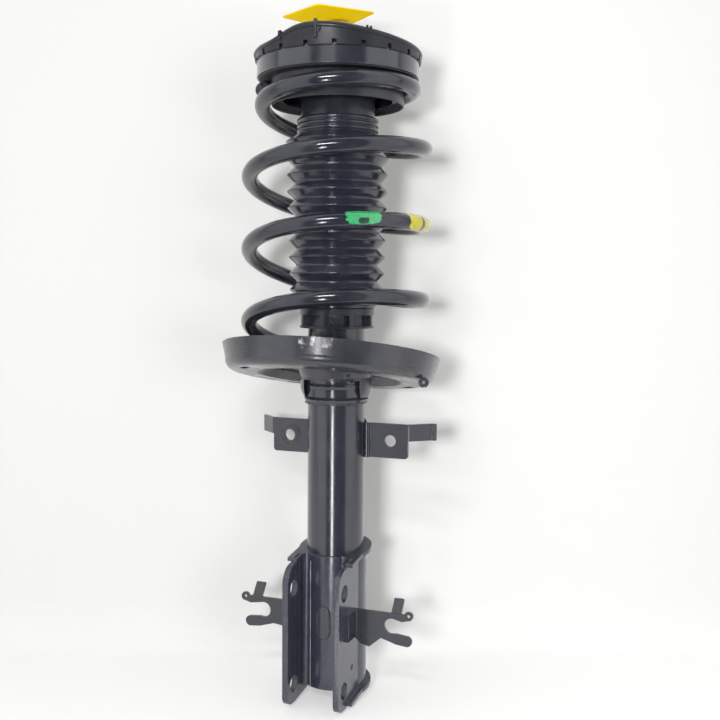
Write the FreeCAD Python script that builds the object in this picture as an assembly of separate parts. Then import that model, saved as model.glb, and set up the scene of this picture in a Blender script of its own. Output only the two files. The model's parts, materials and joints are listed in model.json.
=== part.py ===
import FreeCAD, Part
import math
import os

# A front suspension strut: a coil spring over a damper, with its knuckle bracket and top mount.
# Millimetres. The shapes are made about the strut axis, which is Z, with Z = 0 at the lower
# knuckle bolt. The knuckle bracket opens towards -Y and its bolts lie along X. Each piece is
# then moved by BOLT_REACH along +Y, so that the origin is the centre of the lower knuckle bolt.

Vector = FreeCAD.Vector
X_AXIS = Vector(1, 0, 0)
Y_AXIS = Vector(0, 1, 0)
Z_AXIS = Vector(0, 0, 1)

# Clearances between pieces
RUNNING_GAP = 0.05
BUILD_GAP = 0.3

# Depth of a cut or a block that has to clear the piece it meets, and the small overlap past a face
THROUGH = 400.0
OVERCUT = 1.0

# Damper tube
TUBE_R = 25.5
TUBE_WALL = 2.2
TUBE_BOTTOM_Z = -2.0
TUBE_TOP_Z = 327.0
TUBE_LIP_R = 17.0
BASE_CAP_HEIGHT = 9.0
BASE_CAP_FLOOR = 4.5

# Working parts inside the tube
ROD_R = 11.0
PRESSURE_R = 16.0
PRESSURE_WALL = 1.5
GUIDE_HEIGHT = 15.0
GUIDE_SPIGOT = 6.0
BUSH_WALL = 1.5
SEAL_HEIGHT = 8.0
SEAL_RECESS_R = 17.0
BASE_VALVE_HEIGHT = 14.0
PISTON_HEIGHT = 14.0
BAND_HEIGHT = 8.0
BAND_THICKNESS = 1.1
SPIGOT_R = 6.0
SHIM_R = 12.5
SHIM_THICKNESS = 1.0
PISTON_NUT_FLATS = 19.0
PISTON_NUT_HEIGHT = 8.0
REBOUND_STOP_HEIGHT = 12.0
REBOUND_STOP_R = 14.5
ROD_BELOW_STOP = 14.0

# Travel of the upper seat towards the lower one
STROKE = 120.0

# Cup on the tube's top
CUP_R = 33.2
CUP_WALL = 2.0
CUP_BOTTOM_Z = 313.5
CUP_ROOF = 4.0
CUP_SLEEVE_WALL = 2.0
CUP_WINDOWS = 8
CUP_POST_WIDTH = 4.5
CUP_RIM = 4.0

# Knuckle bracket
BOLT_REACH = 44.0
BOLT_SPACING = 86.0
BOLT_HOLE_R = 7.5
OUTER_PLATE = 3.0
INNER_PLATE = 2.3
FLANGE_HALF = 26.5
FLANGE_REACH = 57.0
FLANGE_TOP_Z = 107.0
FLANGE_TIP_Z = -17.0
FLANGE_TOP_ROUND = 17.0
FLANGE_TIP_ROUND = 9.0
NOTCH_REACH = 39.0
NOTCH_R = 2.5
TOP_EDGE_Z = 115.5
TOP_EDGE_SLOPE = 0.14
BOTTOM_EDGE_Z = -11.8
BOTTOM_EDGE_SLOPE = 0.12
LIP_WIDTH = 4.5
LIP_HEIGHT = 3.2
INNER_TOP_Z = 113.5
INNER_BOTTOM_Z = -9.0
INNER_CORNER_R = 4.0
EMBOSS_Z = 52.0
EMBOSS_HALF_WIDTH = 5.5
EMBOSS_HEIGHT = 28.0
EMBOSS_RISE = 1.0

# Hose clips on the knuckle bracket, measured outwards from the strut axis
CLIP_PLATE = 2.5
CLIP_SETBACK = 20.0
CLIP_TOP_Z = 66.5
CLIP_ROOT_BOTTOM_Z = 36.0
CLIP_HEEL_REACH = 41.0
CLIP_HEEL_Z = 34.0
CLIP_WAIST_REACH = 51.7
CLIP_WAIST_Z = 42.0
CLIP_SLOT_Z = 54.9
CLIP_SLOT_HALF = 6.8
CLIP_SLOT_END = 55.0
CLIP_PRONG_R = 4.7
CLIP_PRONG_ROOT_REACH = 66.0
CLIP_PRONG_ROOT_Z = 43.8
CLIP_PRONG_TIP_REACH = 75.5
CLIP_PRONG_TIP_Z = 42.8
CLIP_ARM_REACH = 71.0
CLIP_ARM_Z = 63.2
CLIP_ARM_R = 3.4
CLIP_CURL_REACH = 77.0
CLIP_CURL_Z = 65.2
CLIP_CURL_R = 4.0
CLIP_CURL_HOLE_R = 1.5
CLIP_TAB_REACH = 61.0
CLIP_LEFT_STRETCH = 3.5
CLIP_TAB_WIDTH = 9.0
CLIP_TAB_LENGTH = 13.5
CLIP_TAB_LEAN = 38.0
CLIP_TAB_SINK = 2.0
CLIP_FOOT_LENGTH = 20.0
CLIP_FOOT_TRIM = 6.0

# Stabiliser-link bracket
LINK_HOLE_REACH = 49.0
LINK_HOLE_R = 5.25
LINK_PLANE_BACK = 9.0
LINK_PLATE = 3.0
LINK_HOLE_Z = 213.0
LINK_HEIGHT = 31.0
LINK_BOTTOM_Z = LINK_HOLE_Z - LINK_HEIGHT / 2.0
LINK_TOP_Z = LINK_HOLE_Z + LINK_HEIGHT / 2.0
LINK_WING_END = 65.5
LINK_EAR_LENGTH = 20.0
LINK_EAR_HEIGHT = 15.0
LINK_EAR_ANGLE = 42.0
LINK_HOOK_R = 5.0
LINK_CORNER_R = 3.0
LINK_BOSS_R = 10.5
LINK_BOSS_RISE = 0.8

# Spring wire and the main coil
WIRE_R = 7.0
COIL_R = 77.0

# Lower spring seat, in its own tilted frame, heights below its rim
SEAT_MARGIN = 13.7
SEAT_R = COIL_R + WIRE_R + SEAT_MARGIN
SEAT_SHEET = 3.0
SEAT_RIM_Z = 291.0
SEAT_OFFSET = -5.0
SEAT_TILT = 11.5
SEAT_DEPTH = 23.0
SEAT_WALL_TAPER = 4.0
SEAT_CORNER_R = 9.0
SEAT_FLOOR_INNER_R = COIL_R - WIRE_R - 5.0
SEAT_WEB_DROP = 13.0
SEAT_WEB_R = SEAT_FLOOR_INNER_R - 7.0
SEAT_WINDOW_LAND = 11.5
SEAT_WINDOW_INNER_R = TUBE_R + SEAT_WINDOW_LAND
SEAT_WINDOW_OUTER_R = SEAT_WEB_R - 1.0
SEAT_WINDOW_HALF_ANGLE = 52.0
SEAT_SLOT_R = COIL_R + 3.0
SEAT_SLOT_LENGTH = 18.0
SEAT_SLOT_WIDTH = 6.0
SEAT_SLOTS = 4
SEAT_CUT_MARGIN = 5.0
SEAT_CUT_HEIGHT = 15.0
LOWER_PAD = 3.0
LOWER_PAD_WIDTH = 15.0

# Sleeve and pressed shell that carry the lower seat on the tube
COLLAR_BOTTOM_Z = 248.0
COLLAR_WALL = 2.4
COLLAR_BEAD = 1.2
COLLAR_BEAD_HEIGHT = 5.0
COLLAR_BEAD_STEP = 12.0
COLLAR_TOP_Z = 300.0
SHELL_WALL = 2.5
SHELL_CLEARANCE = 0.4
SHELL_R = TUBE_R + COLLAR_WALL + COLLAR_BEAD + SHELL_CLEARANCE + SHELL_WALL
SHELL_BOTTOM_Z = 252.0
SHELL_FOOT_ROUND = 8.0
SHELL_STRAIGHT_TOP_Z = 270.0
SHELL_FLARE = 6.0
SHELL_FLARE_Z = 286.0
SHELL_TOP_Z = 302.0
SHELL_WINDOW_HALF_WIDTH = 25.0
SHELL_WINDOW_TOP_Z = 268.0
SHELL_WINDOW_TURN = 10.0

# Coil spring: the angle runs up the coil, anticlockwise from +X seen from above
TOP_COIL_R = 66.0
COIL_OFFSET = -1.5
COIL_PITCH = 65.0
SPRING_START = -222.0
SPRING_END = 1640.0
SPRING_TOP_Z = 522.5
LOWER_BLEND = 45.0
UPPER_BLEND = 70.0
NARROWING_START = 1090.0
NARROWING_END = 1280.0
QUARTER_TURN = 90.0

# Dust boot
BOOT_TOP_Z = 497.0
BOOT_TOP_RINGS = 3
BOOT_RING_PITCH = 4.4
BOOT_RING_R = 36.0
BOOT_FOLDS_LOW_Z = 340.0
BOOT_FOLDS = 10
BOOT_PEAK_TOP_R = 45.7
BOOT_PEAK_BOTTOM_R = 42.0
BOOT_VALLEY_TOP_R = 38.8
BOOT_VALLEY_BOTTOM_R = 34.6
BOOT_WALL = 1.8
BOOT_TIP = 1.2

# Upper spring seat
UPPER_SEAT_R = 71.0
UPPER_SEAT_Z = 531.0
UPPER_SEAT_SHEET = 2.5
UPPER_SEAT_RISE = 15.5
CENTRING_R = 54.6
CENTRING_DEPTH = 19.0
CENTRING_LIP = 4.0
UPPER_PAD_WIDTH = 16.0

# Bump stop and the small cup that holds it
BUMP_CUP_R = 32.6
BUMP_CUP_WALL = 1.8
BUMP_CUP_BOTTOM_Z = 484.0
BUMP_R = 26.0
BUMP_WAIST_R = 21.0
BUMP_BORE_R = 12.0

# Ball bearing between the upper seat and the top mount
BALL_R = 3.0
BALL_CIRCLE_R = 52.0
BALL_COUNT = 18
RACE_WIDTH = 12.0
RACE_THICKNESS = 4.5
GROOVE_DEPTH = 1.0
CAGE_THICKNESS = 2.4
CAGE_WIDTH = 9.6

# Top mount
CAP_R = 73.0
CAP_BOTTOM_Z = 545.0
CAP_TOP_Z = 554.0
CAP_PEAK_Z = 564.0
CAP_PEAK_DIRECTION = 277.0
CAP_TILT = 38.0
CAP_SKIRT_WALL = 1.5
CAP_ROOF = 3.0
CAP_CHAMFER = 4.0
CAP_RIM_WIDTH = 7.0
CAP_HUB_WIDTH = 5.0
CAP_RIBS = 12
CAP_RIB_WIDTH = 2.5
CAP_NOTCHES = 19
CAP_NOTCH_DIRECTION = 292.0
NOTCH_WIDTH = 3.0
NOTCH_HEIGHT = 4.5
LUG_ANGLES = (-29.0, 0.0, 36.0)
LUG_WIDTH = 2.5
LUG_RISE = 2.5
MOUNT_BORE_R = 36.0
RUBBER_TOP_Z = 562.5
CORE_R = 15.0
CORE_FLANGE_R = 24.0
CORE_FLANGE = 3.0
CORE_BOTTOM_Z = 545.0
CORE_TOP_Z = 566.4
STUD_R = 7.0
STUD_END_R = 6.8
STUD_END_LENGTH = 9.8
STUD_TOP_Z = 591.5
WASHER_R = 28.0
WASHER_THICKNESS = 2.8
WASHER_DISH = 2.5
NUT_FLATS = 22.0
NUT_HEIGHT = 11.0
TAG_LENGTH = 58.5
TAG_WIDTH = 53.6
TAG_THICKNESS = 0.6
TAG_ANGLE = 50.0
TAG_OFFSET_X = -2.8
TAG_OFFSET_Y = -24.8
TAG_HOLE_R = 7.2


def polar(radius, angle, z=0.0):
    """A point at this radius and angle in degrees about the strut axis."""
    turn = math.radians(angle)
    return Vector(radius * math.cos(turn), radius * math.sin(turn), z)


def turned(outline):
    """A solid of revolution about the strut axis, from (radius, height) corners."""
    corners = [Vector(radius, 0, height) for radius, height in outline]
    face = Part.Face(Part.makePolygon(corners + [corners[0]]))
    return face.revolve(Vector(0, 0, 0), Z_AXIS, 360)


def ring(inner_r, outer_r, low_z, high_z):
    """A plain ring about the strut axis."""
    return turned([(inner_r, low_z), (outer_r, low_z), (outer_r, high_z), (inner_r, high_z)])


def disc(radius, low_z, high_z):
    """A plain disc about the strut axis."""
    return Part.makeCylinder(radius, high_z - low_z, Vector(0, 0, low_z), Z_AXIS)


def through_disc(radius):
    """A disc about the strut axis, long enough to pass through the knuckle bracket."""
    return disc(radius, -THROUGH / 2.0, THROUGH / 2.0)


def block(low, high):
    """A box between two opposite corners."""
    size = high - low
    return Part.makeBox(size.x, size.y, size.z, low)


def hex_nut(flats, hole_r, low_z, high_z):
    """A hexagon nut about the strut axis, with its corners turned off."""
    corner_r = flats / math.sqrt(3.0)
    corners = [polar(corner_r, 60.0 * step, low_z) for step in range(7)]
    body = Part.Face(Part.makePolygon(corners)).extrude(Vector(0, 0, high_z - low_z))
    wide_r = corner_r + 0.1
    drop = corner_r - flats / 2.0
    dome = turned([
        (0, low_z), (wide_r, low_z), (wide_r, high_z - drop), (flats / 2.0, high_z), (0, high_z)])
    return body.common(dome).cut(disc(hole_r, low_z - 1, high_z + 1))


def flat_plate(outline, thickness, direction):
    """A flat plate from corners in one plane, thickened along a direction."""
    face = Part.Face(Part.makePolygon(outline + [outline[0]]))
    return face.extrude(direction * thickness)


def mirrored(shape):
    """The same shape on the other side of the strut."""
    return shape.mirror(Vector(0, 0, 0), X_AXIS)


def save(name, shape):
    """Write one piece, with its place measured from the lower knuckle bolt."""
    placed = shape.copy()
    placed.translate(Vector(0, BOLT_REACH, 0))
    placed.exportStep(os.path.join("parts", name + ".step"))


# Damper

def outer_tube():
    """The damper's outer tube, its top rolled in over the seal."""
    bore = TUBE_R - TUBE_WALL
    return turned([
        (bore, TUBE_BOTTOM_Z), (TUBE_R, TUBE_BOTTOM_Z), (TUBE_R, TUBE_TOP_Z - 2.0),
        (TUBE_R - 2.0, TUBE_TOP_Z), (TUBE_LIP_R, TUBE_TOP_Z),
        (TUBE_LIP_R, TUBE_TOP_Z - TUBE_WALL), (bore, TUBE_TOP_Z - TUBE_WALL)])


BORE_R = TUBE_R - TUBE_WALL
CAP_FLOOR_Z = TUBE_BOTTOM_Z + BASE_CAP_FLOOR
VALVE_TOP_Z = CAP_FLOOR_Z + BASE_VALVE_HEIGHT
VALVE_SHOULDER_Z = CAP_FLOOR_Z + BASE_VALVE_HEIGHT / 2.0
SEAL_TOP_Z = TUBE_TOP_Z - TUBE_WALL
GUIDE_TOP_Z = SEAL_TOP_Z - SEAL_HEIGHT
GUIDE_SHOULDER_Z = GUIDE_TOP_Z - GUIDE_HEIGHT
GUIDE_BOTTOM_Z = GUIDE_SHOULDER_Z - GUIDE_SPIGOT
STOP_TOP_Z = GUIDE_BOTTOM_Z - BUILD_GAP
STOP_BOTTOM_Z = STOP_TOP_Z - REBOUND_STOP_HEIGHT
ROD_BOTTOM_Z = STOP_BOTTOM_Z - ROD_BELOW_STOP
PISTON_TOP_Z = ROD_BOTTOM_Z - SHIM_THICKNESS
PISTON_BOTTOM_Z = PISTON_TOP_Z - PISTON_HEIGHT
NUT_TOP_Z = PISTON_BOTTOM_Z - SHIM_THICKNESS
SPIGOT_BOTTOM_Z = NUT_TOP_Z - PISTON_NUT_HEIGHT - 2.0
CUP_TOP_Z = TUBE_TOP_Z + CUP_ROOF


def tube_base_cap():
    """The pressed cap that closes the tube's foot."""
    top_z = TUBE_BOTTOM_Z + BASE_CAP_HEIGHT
    rim = 2.5
    return turned([
        (0, TUBE_BOTTOM_Z), (BORE_R, TUBE_BOTTOM_Z), (BORE_R, top_z), (BORE_R - rim, top_z),
        (BORE_R - rim, CAP_FLOOR_Z + 1.5), (BORE_R - rim - 1.5, CAP_FLOOR_Z), (0, CAP_FLOOR_Z)])


def base_valve():
    """The foot valve body, which carries the pressure tube on its shoulder."""
    body_r = PRESSURE_R + PRESSURE_WALL
    body = turned([
        (0, CAP_FLOOR_Z), (body_r, CAP_FLOOR_Z), (body_r, VALVE_SHOULDER_Z),
        (PRESSURE_R, VALVE_SHOULDER_Z), (PRESSURE_R, VALVE_TOP_Z), (0, VALVE_TOP_Z)])
    passage_r = 2.0
    port_circle_r = PRESSURE_R / 2.0
    feet = [polar(port_circle_r, 90.0 * step, CAP_FLOOR_Z - 1) for step in range(4)]
    ports = [Part.makeCylinder(passage_r, BASE_VALVE_HEIGHT + 2, foot) for foot in feet]
    groove_low = Vector(-body_r, -passage_r, CAP_FLOOR_Z - 1)
    groove_high = Vector(body_r, passage_r, CAP_FLOOR_Z + passage_r)
    groove = block(groove_low, groove_high)
    return body.cut(Part.makeCompound(ports)).cut(groove)


def pressure_tube():
    """The inner tube that the piston runs in."""
    return ring(PRESSURE_R, PRESSURE_R + PRESSURE_WALL, VALVE_SHOULDER_Z, GUIDE_SHOULDER_Z)


def rod_guide():
    """The guide that closes both tubes' tops and holds the bush."""
    bush_r = ROD_R + RUNNING_GAP + BUSH_WALL
    return turned([
        (bush_r, GUIDE_BOTTOM_Z), (PRESSURE_R, GUIDE_BOTTOM_Z), (PRESSURE_R, GUIDE_SHOULDER_Z),
        (BORE_R, GUIDE_SHOULDER_Z), (BORE_R, GUIDE_TOP_Z), (bush_r, GUIDE_TOP_Z)])


def guide_bush():
    """The plain bush that the rod slides in."""
    bore = ROD_R + RUNNING_GAP
    return ring(bore, bore + BUSH_WALL, GUIDE_BOTTOM_Z, GUIDE_TOP_Z)


def oil_seal():
    """The rod seal, with its lip on the rod and its edge under the tube's rolled lip."""
    lip_r = ROD_R + RUNNING_GAP
    lip_thickness = 2.0
    return turned([
        (lip_r, GUIDE_TOP_Z), (BORE_R, GUIDE_TOP_Z), (BORE_R, SEAL_TOP_Z), (SEAL_RECESS_R, SEAL_TOP_Z),
        (SEAL_RECESS_R, GUIDE_TOP_Z + 3.0), (lip_r + lip_thickness, GUIDE_TOP_Z + 3.0),
        (lip_r + lip_thickness, SEAL_TOP_Z), (lip_r, SEAL_TOP_Z)])


def piston_rod():
    """The rod, with a spigot for the piston and a threaded stud for the top mount."""
    chamfer = 1.0
    end_z = STUD_TOP_Z - STUD_END_LENGTH
    return turned([
        (0, SPIGOT_BOTTOM_Z), (SPIGOT_R - chamfer, SPIGOT_BOTTOM_Z), (SPIGOT_R, SPIGOT_BOTTOM_Z + chamfer),
        (SPIGOT_R, ROD_BOTTOM_Z), (ROD_R, ROD_BOTTOM_Z), (ROD_R, CORE_BOTTOM_Z), (STUD_R, CORE_BOTTOM_Z),
        (STUD_R, end_z), (STUD_END_R, end_z), (STUD_END_R, STUD_TOP_Z - chamfer),
        (STUD_END_R - chamfer, STUD_TOP_Z), (0, STUD_TOP_Z)])


def piston():
    """The damper piston, with a groove for its band and ports through it."""
    band_r = PRESSURE_R - RUNNING_GAP
    piston_r = band_r - BUILD_GAP
    groove_r = band_r - BAND_THICKNESS
    margin = (PISTON_HEIGHT - BAND_HEIGHT) / 2.0
    body = turned([
        (SPIGOT_R, PISTON_BOTTOM_Z), (piston_r, PISTON_BOTTOM_Z), (piston_r, PISTON_BOTTOM_Z + margin),
        (groove_r, PISTON_BOTTOM_Z + margin), (groove_r, PISTON_TOP_Z - margin),
        (piston_r, PISTON_TOP_Z - margin), (piston_r, PISTON_TOP_Z), (SPIGOT_R, PISTON_TOP_Z)])
    port_r = 1.5
    port_circle_r = (SPIGOT_R + groove_r) / 2.0
    feet = [polar(port_circle_r, 60.0 * step, PISTON_BOTTOM_Z - 1) for step in range(6)]
    ports = [Part.makeCylinder(port_r, PISTON_HEIGHT + 2, foot) for foot in feet]
    return body.cut(Part.makeCompound(ports))


def piston_band():
    """The low-friction band round the piston."""
    margin = (PISTON_HEIGHT - BAND_HEIGHT) / 2.0
    band_r = PRESSURE_R - RUNNING_GAP
    return ring(band_r - BAND_THICKNESS, band_r, PISTON_BOTTOM_Z + margin, PISTON_TOP_Z - margin)


def valve_shims():
    """The two stacks of valve shims, above and below the piston."""
    upper = ring(SPIGOT_R, SHIM_R, PISTON_TOP_Z, ROD_BOTTOM_Z)
    lower = ring(SPIGOT_R, SHIM_R, NUT_TOP_Z, PISTON_BOTTOM_Z)
    return Part.makeCompound([upper, lower])


def piston_nut():
    """The nut that holds the piston on the rod's spigot."""
    return hex_nut(PISTON_NUT_FLATS, SPIGOT_R, NUT_TOP_Z - PISTON_NUT_HEIGHT, NUT_TOP_Z)


def rebound_stop():
    """The stop ring on the rod that meets the guide when the strut is fully out."""
    return ring(ROD_R, REBOUND_STOP_R, STOP_BOTTOM_Z, STOP_TOP_Z)


def boot_cup():
    """The windowed plastic cup on the tube's top, which the bump stop strikes."""
    roof = ring(ROD_R + 2.0, CUP_R, TUBE_TOP_Z, CUP_TOP_Z)
    wall = ring(CUP_R - CUP_WALL, CUP_R, CUP_BOTTOM_Z, TUBE_TOP_Z)
    sleeve = ring(TUBE_R, TUBE_R + CUP_SLEEVE_WALL, CUP_BOTTOM_Z, TUBE_TOP_Z)
    window_low = CUP_BOTTOM_Z + CUP_RIM / 2.0
    window_high = TUBE_TOP_Z - CUP_RIM / 2.0
    window_ring = ring(CUP_R - CUP_WALL - 0.5, CUP_R + 1, window_low, window_high)
    spacing = 360.0 / CUP_WINDOWS
    spokes = []
    posts = []
    for step in range(CUP_WINDOWS):
        rib = block(Vector(TUBE_R + 1, -CUP_POST_WIDTH / 2.0, CUP_BOTTOM_Z),
                    Vector(CUP_R + 2, CUP_POST_WIDTH / 2.0, TUBE_TOP_Z))
        rib.rotate(Vector(0, 0, 0), Z_AXIS, spacing * step)
        posts.append(rib)
        spokes.append(rib.common(ring(TUBE_R + 1, CUP_R - 1, CUP_BOTTOM_Z, TUBE_TOP_Z)))
    windows = window_ring.cut(Part.makeCompound(posts))
    return roof.fuse([sleeve, wall.cut(windows)] + spokes).removeSplitter()


# Knuckle bracket

def clevis_profile(radius, half_width, reach):
    """The outline of a tube wrap: a disc about the axis with straight sides towards -Y."""
    wrap = through_disc(radius)
    sides = block(Vector(-half_width, -reach, -THROUGH / 2.0), Vector(half_width, 0, THROUGH / 2.0))
    return wrap.fuse(sides)


def edge_plane(reach, middle_z, slope):
    """The height of a slanted bracket edge at this distance forward of the strut axis."""
    return middle_z - slope * reach


def side_shape(points, half_width):
    """A block cut to a side-view outline, from (reach, height) corners, as wide as asked."""
    corners = [Vector(-half_width, -reach, z) for reach, z in points]
    return flat_plate(corners, 2 * half_width, X_AXIS)


def rounded_flange():
    """The flanges' front outline: the rounded top corner, the notch and the rounded foot."""
    wide = FLANGE_HALF + 1
    reach = FLANGE_REACH
    body = block(Vector(-wide, -reach, FLANGE_TIP_Z), Vector(wide, -NOTCH_REACH, FLANGE_TOP_Z))
    edges = [edge for edge in body.Edges if is_front_corner(edge, FLANGE_TOP_Z)]
    body = body.makeFillet(FLANGE_TOP_ROUND - 0.5, edges)
    edges = [edge for edge in body.Edges if is_front_corner(edge, FLANGE_TIP_Z)]
    return body.makeFillet(FLANGE_TIP_ROUND, edges)


def is_front_corner(edge, height):
    """Whether an edge is the front corner of the flanges at this height."""
    middle = edge.CenterOfMass
    straight_across = abs(edge.Vertexes[0].Point.x - edge.Vertexes[-1].Point.x) > FLANGE_HALF
    return straight_across and abs(middle.z - height) < 0.01 and abs(middle.y + FLANGE_REACH) < 0.01


def bracket_side():
    """The whole side outline of the knuckle bracket: the wrap behind and the flanges in front."""
    back = -TUBE_R - OUTER_PLATE - LIP_WIDTH - 1
    wrap = side_shape([
        (back, edge_plane(back, BOTTOM_EDGE_Z, BOTTOM_EDGE_SLOPE)),
        (NOTCH_REACH, edge_plane(NOTCH_REACH, BOTTOM_EDGE_Z, BOTTOM_EDGE_SLOPE)),
        (NOTCH_REACH, edge_plane(NOTCH_REACH, TOP_EDGE_Z, TOP_EDGE_SLOPE)),
        (back, edge_plane(back, TOP_EDGE_Z, TOP_EDGE_SLOPE))], FLANGE_HALF + LIP_WIDTH + 5)
    return wrap.fuse(rounded_flange())


def bolt_holes():
    """The two knuckle bolt holes, right across the bracket."""
    holes = [Part.makeCylinder(BOLT_HOLE_R, THROUGH, Vector(-THROUGH / 2.0, -BOLT_REACH, z), X_AXIS)
             for z in (0.0, BOLT_SPACING)]
    return Part.makeCompound(holes)


def slanted_slab(middle_z, slope, below, above):
    """The space between two planes parallel to a slanted bracket edge, up to the notch."""
    back = -TUBE_R - OUTER_PLATE - LIP_WIDTH - 1
    front = NOTCH_REACH - NOTCH_R
    back_z = edge_plane(back, middle_z, slope)
    front_z = edge_plane(front, middle_z, slope)
    corners = [
        (back, back_z + below), (front, front_z + below), (front, front_z + above), (back, back_z + above)]
    return side_shape(corners, FLANGE_HALF + LIP_WIDTH + 5)


def knuckle_bracket_outer():
    """The outer pressing: it wraps the tube's back and runs forward as two ears."""
    wrap_r = TUBE_R + OUTER_PLATE
    outside = clevis_profile(wrap_r, FLANGE_HALF, FLANGE_REACH)
    inside = clevis_profile(TUBE_R, FLANGE_HALF - OUTER_PLATE, FLANGE_REACH + 1)
    lip_outside = clevis_profile(wrap_r + LIP_WIDTH, FLANGE_HALF + LIP_WIDTH, NOTCH_REACH - NOTCH_R)
    shell = outside.common(bracket_side())
    top_lip = lip_outside.common(slanted_slab(TOP_EDGE_Z, TOP_EDGE_SLOPE, -LIP_HEIGHT, 0.0))
    foot_lip = lip_outside.common(slanted_slab(BOTTOM_EDGE_Z, BOTTOM_EDGE_SLOPE, 0.0, LIP_HEIGHT))
    notch_z = edge_plane(NOTCH_REACH, TOP_EDGE_Z, TOP_EDGE_SLOPE)
    notch_start = Vector(-THROUGH / 2.0, -NOTCH_REACH, notch_z)
    notch = Part.makeCylinder(NOTCH_R, THROUGH, notch_start, X_AXIS)
    return shell.fuse([top_lip, foot_lip]).cut(inside).cut(notch).cut(bolt_holes())


def knuckle_bracket_inner():
    """The inner pressing: it hugs the tube's front and lines the two ears."""
    outer_half = FLANGE_HALF - OUTER_PLATE
    inner_half = outer_half - INNER_PLATE
    bulge_r = TUBE_R + INNER_PLATE
    front = FLANGE_REACH + OVERCUT
    half_height = THROUGH / 2.0 - OVERCUT
    full = block(Vector(-outer_half, -front, -half_height), Vector(outer_half, 0, half_height))
    gap_low = Vector(-inner_half, -front - OVERCUT, -half_height - OVERCUT)
    gap_high = Vector(inner_half, OVERCUT, half_height + OVERCUT)
    gap = block(gap_low, gap_high).cut(through_disc(bulge_r))
    corners = [edge for edge in gap.Edges if is_bulge_corner(edge, inner_half, bulge_r)]
    gap = gap.makeFillet(INNER_CORNER_R, corners)
    lining = full.cut(gap).cut(through_disc(TUBE_R))
    ears = lining.common(bracket_side())
    low = block(Vector(-inner_half, -front, -half_height), Vector(inner_half, OVERCUT, INNER_BOTTOM_Z))
    bridge_low = Vector(-outer_half, -NOTCH_REACH, INNER_TOP_Z)
    bridge_top = block(bridge_low, Vector(outer_half, OVERCUT, half_height))
    ears = ears.cut(low).cut(bridge_top)
    return ears.fuse(front_emboss(bulge_r)).cut(bolt_holes())


def is_bulge_corner(edge, half_width, bulge_r):
    """Whether an edge is one of the two long inside corners beside the bulge."""
    middle = edge.CenterOfMass
    corner_y = -math.sqrt(bulge_r ** 2 - half_width ** 2)
    return abs(abs(middle.x) - half_width) < 0.01 and abs(middle.y - corner_y) < 0.01


def front_emboss(bulge_r):
    """The raised rounded bar pressed in the middle of the bulge."""
    straight = EMBOSS_HEIGHT / 2.0 - EMBOSS_HALF_WIDTH
    towards_front = Vector(0, -1, 0)
    depth = 2 * bulge_r
    bar_low = Vector(-EMBOSS_HALF_WIDTH, -depth, EMBOSS_Z - straight)
    bar_high = Vector(EMBOSS_HALF_WIDTH, 0, EMBOSS_Z + straight)
    bar = block(bar_low, bar_high)
    ends = [Part.makeCylinder(EMBOSS_HALF_WIDTH, depth, Vector(0, 0, EMBOSS_Z + side * straight),
                              towards_front) for side in (-1, 1)]
    skin = ring(bulge_r - 0.5, bulge_r + EMBOSS_RISE, EMBOSS_Z - EMBOSS_HEIGHT, EMBOSS_Z + EMBOSS_HEIGHT)
    return bar.fuse(ends).common(skin)


# Hose clips

def clip_point(reach, z):
    """A point in a clip's front face, outwards from the strut axis on the +X side."""
    return Vector(reach, -CLIP_SETBACK - CLIP_PLATE / 2.0, z)


def clip_round(reach, z, radius):
    """A disc as thick as the clip's plate."""
    return Part.makeCylinder(radius, CLIP_PLATE, clip_point(reach, z), Y_AXIS)


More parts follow.
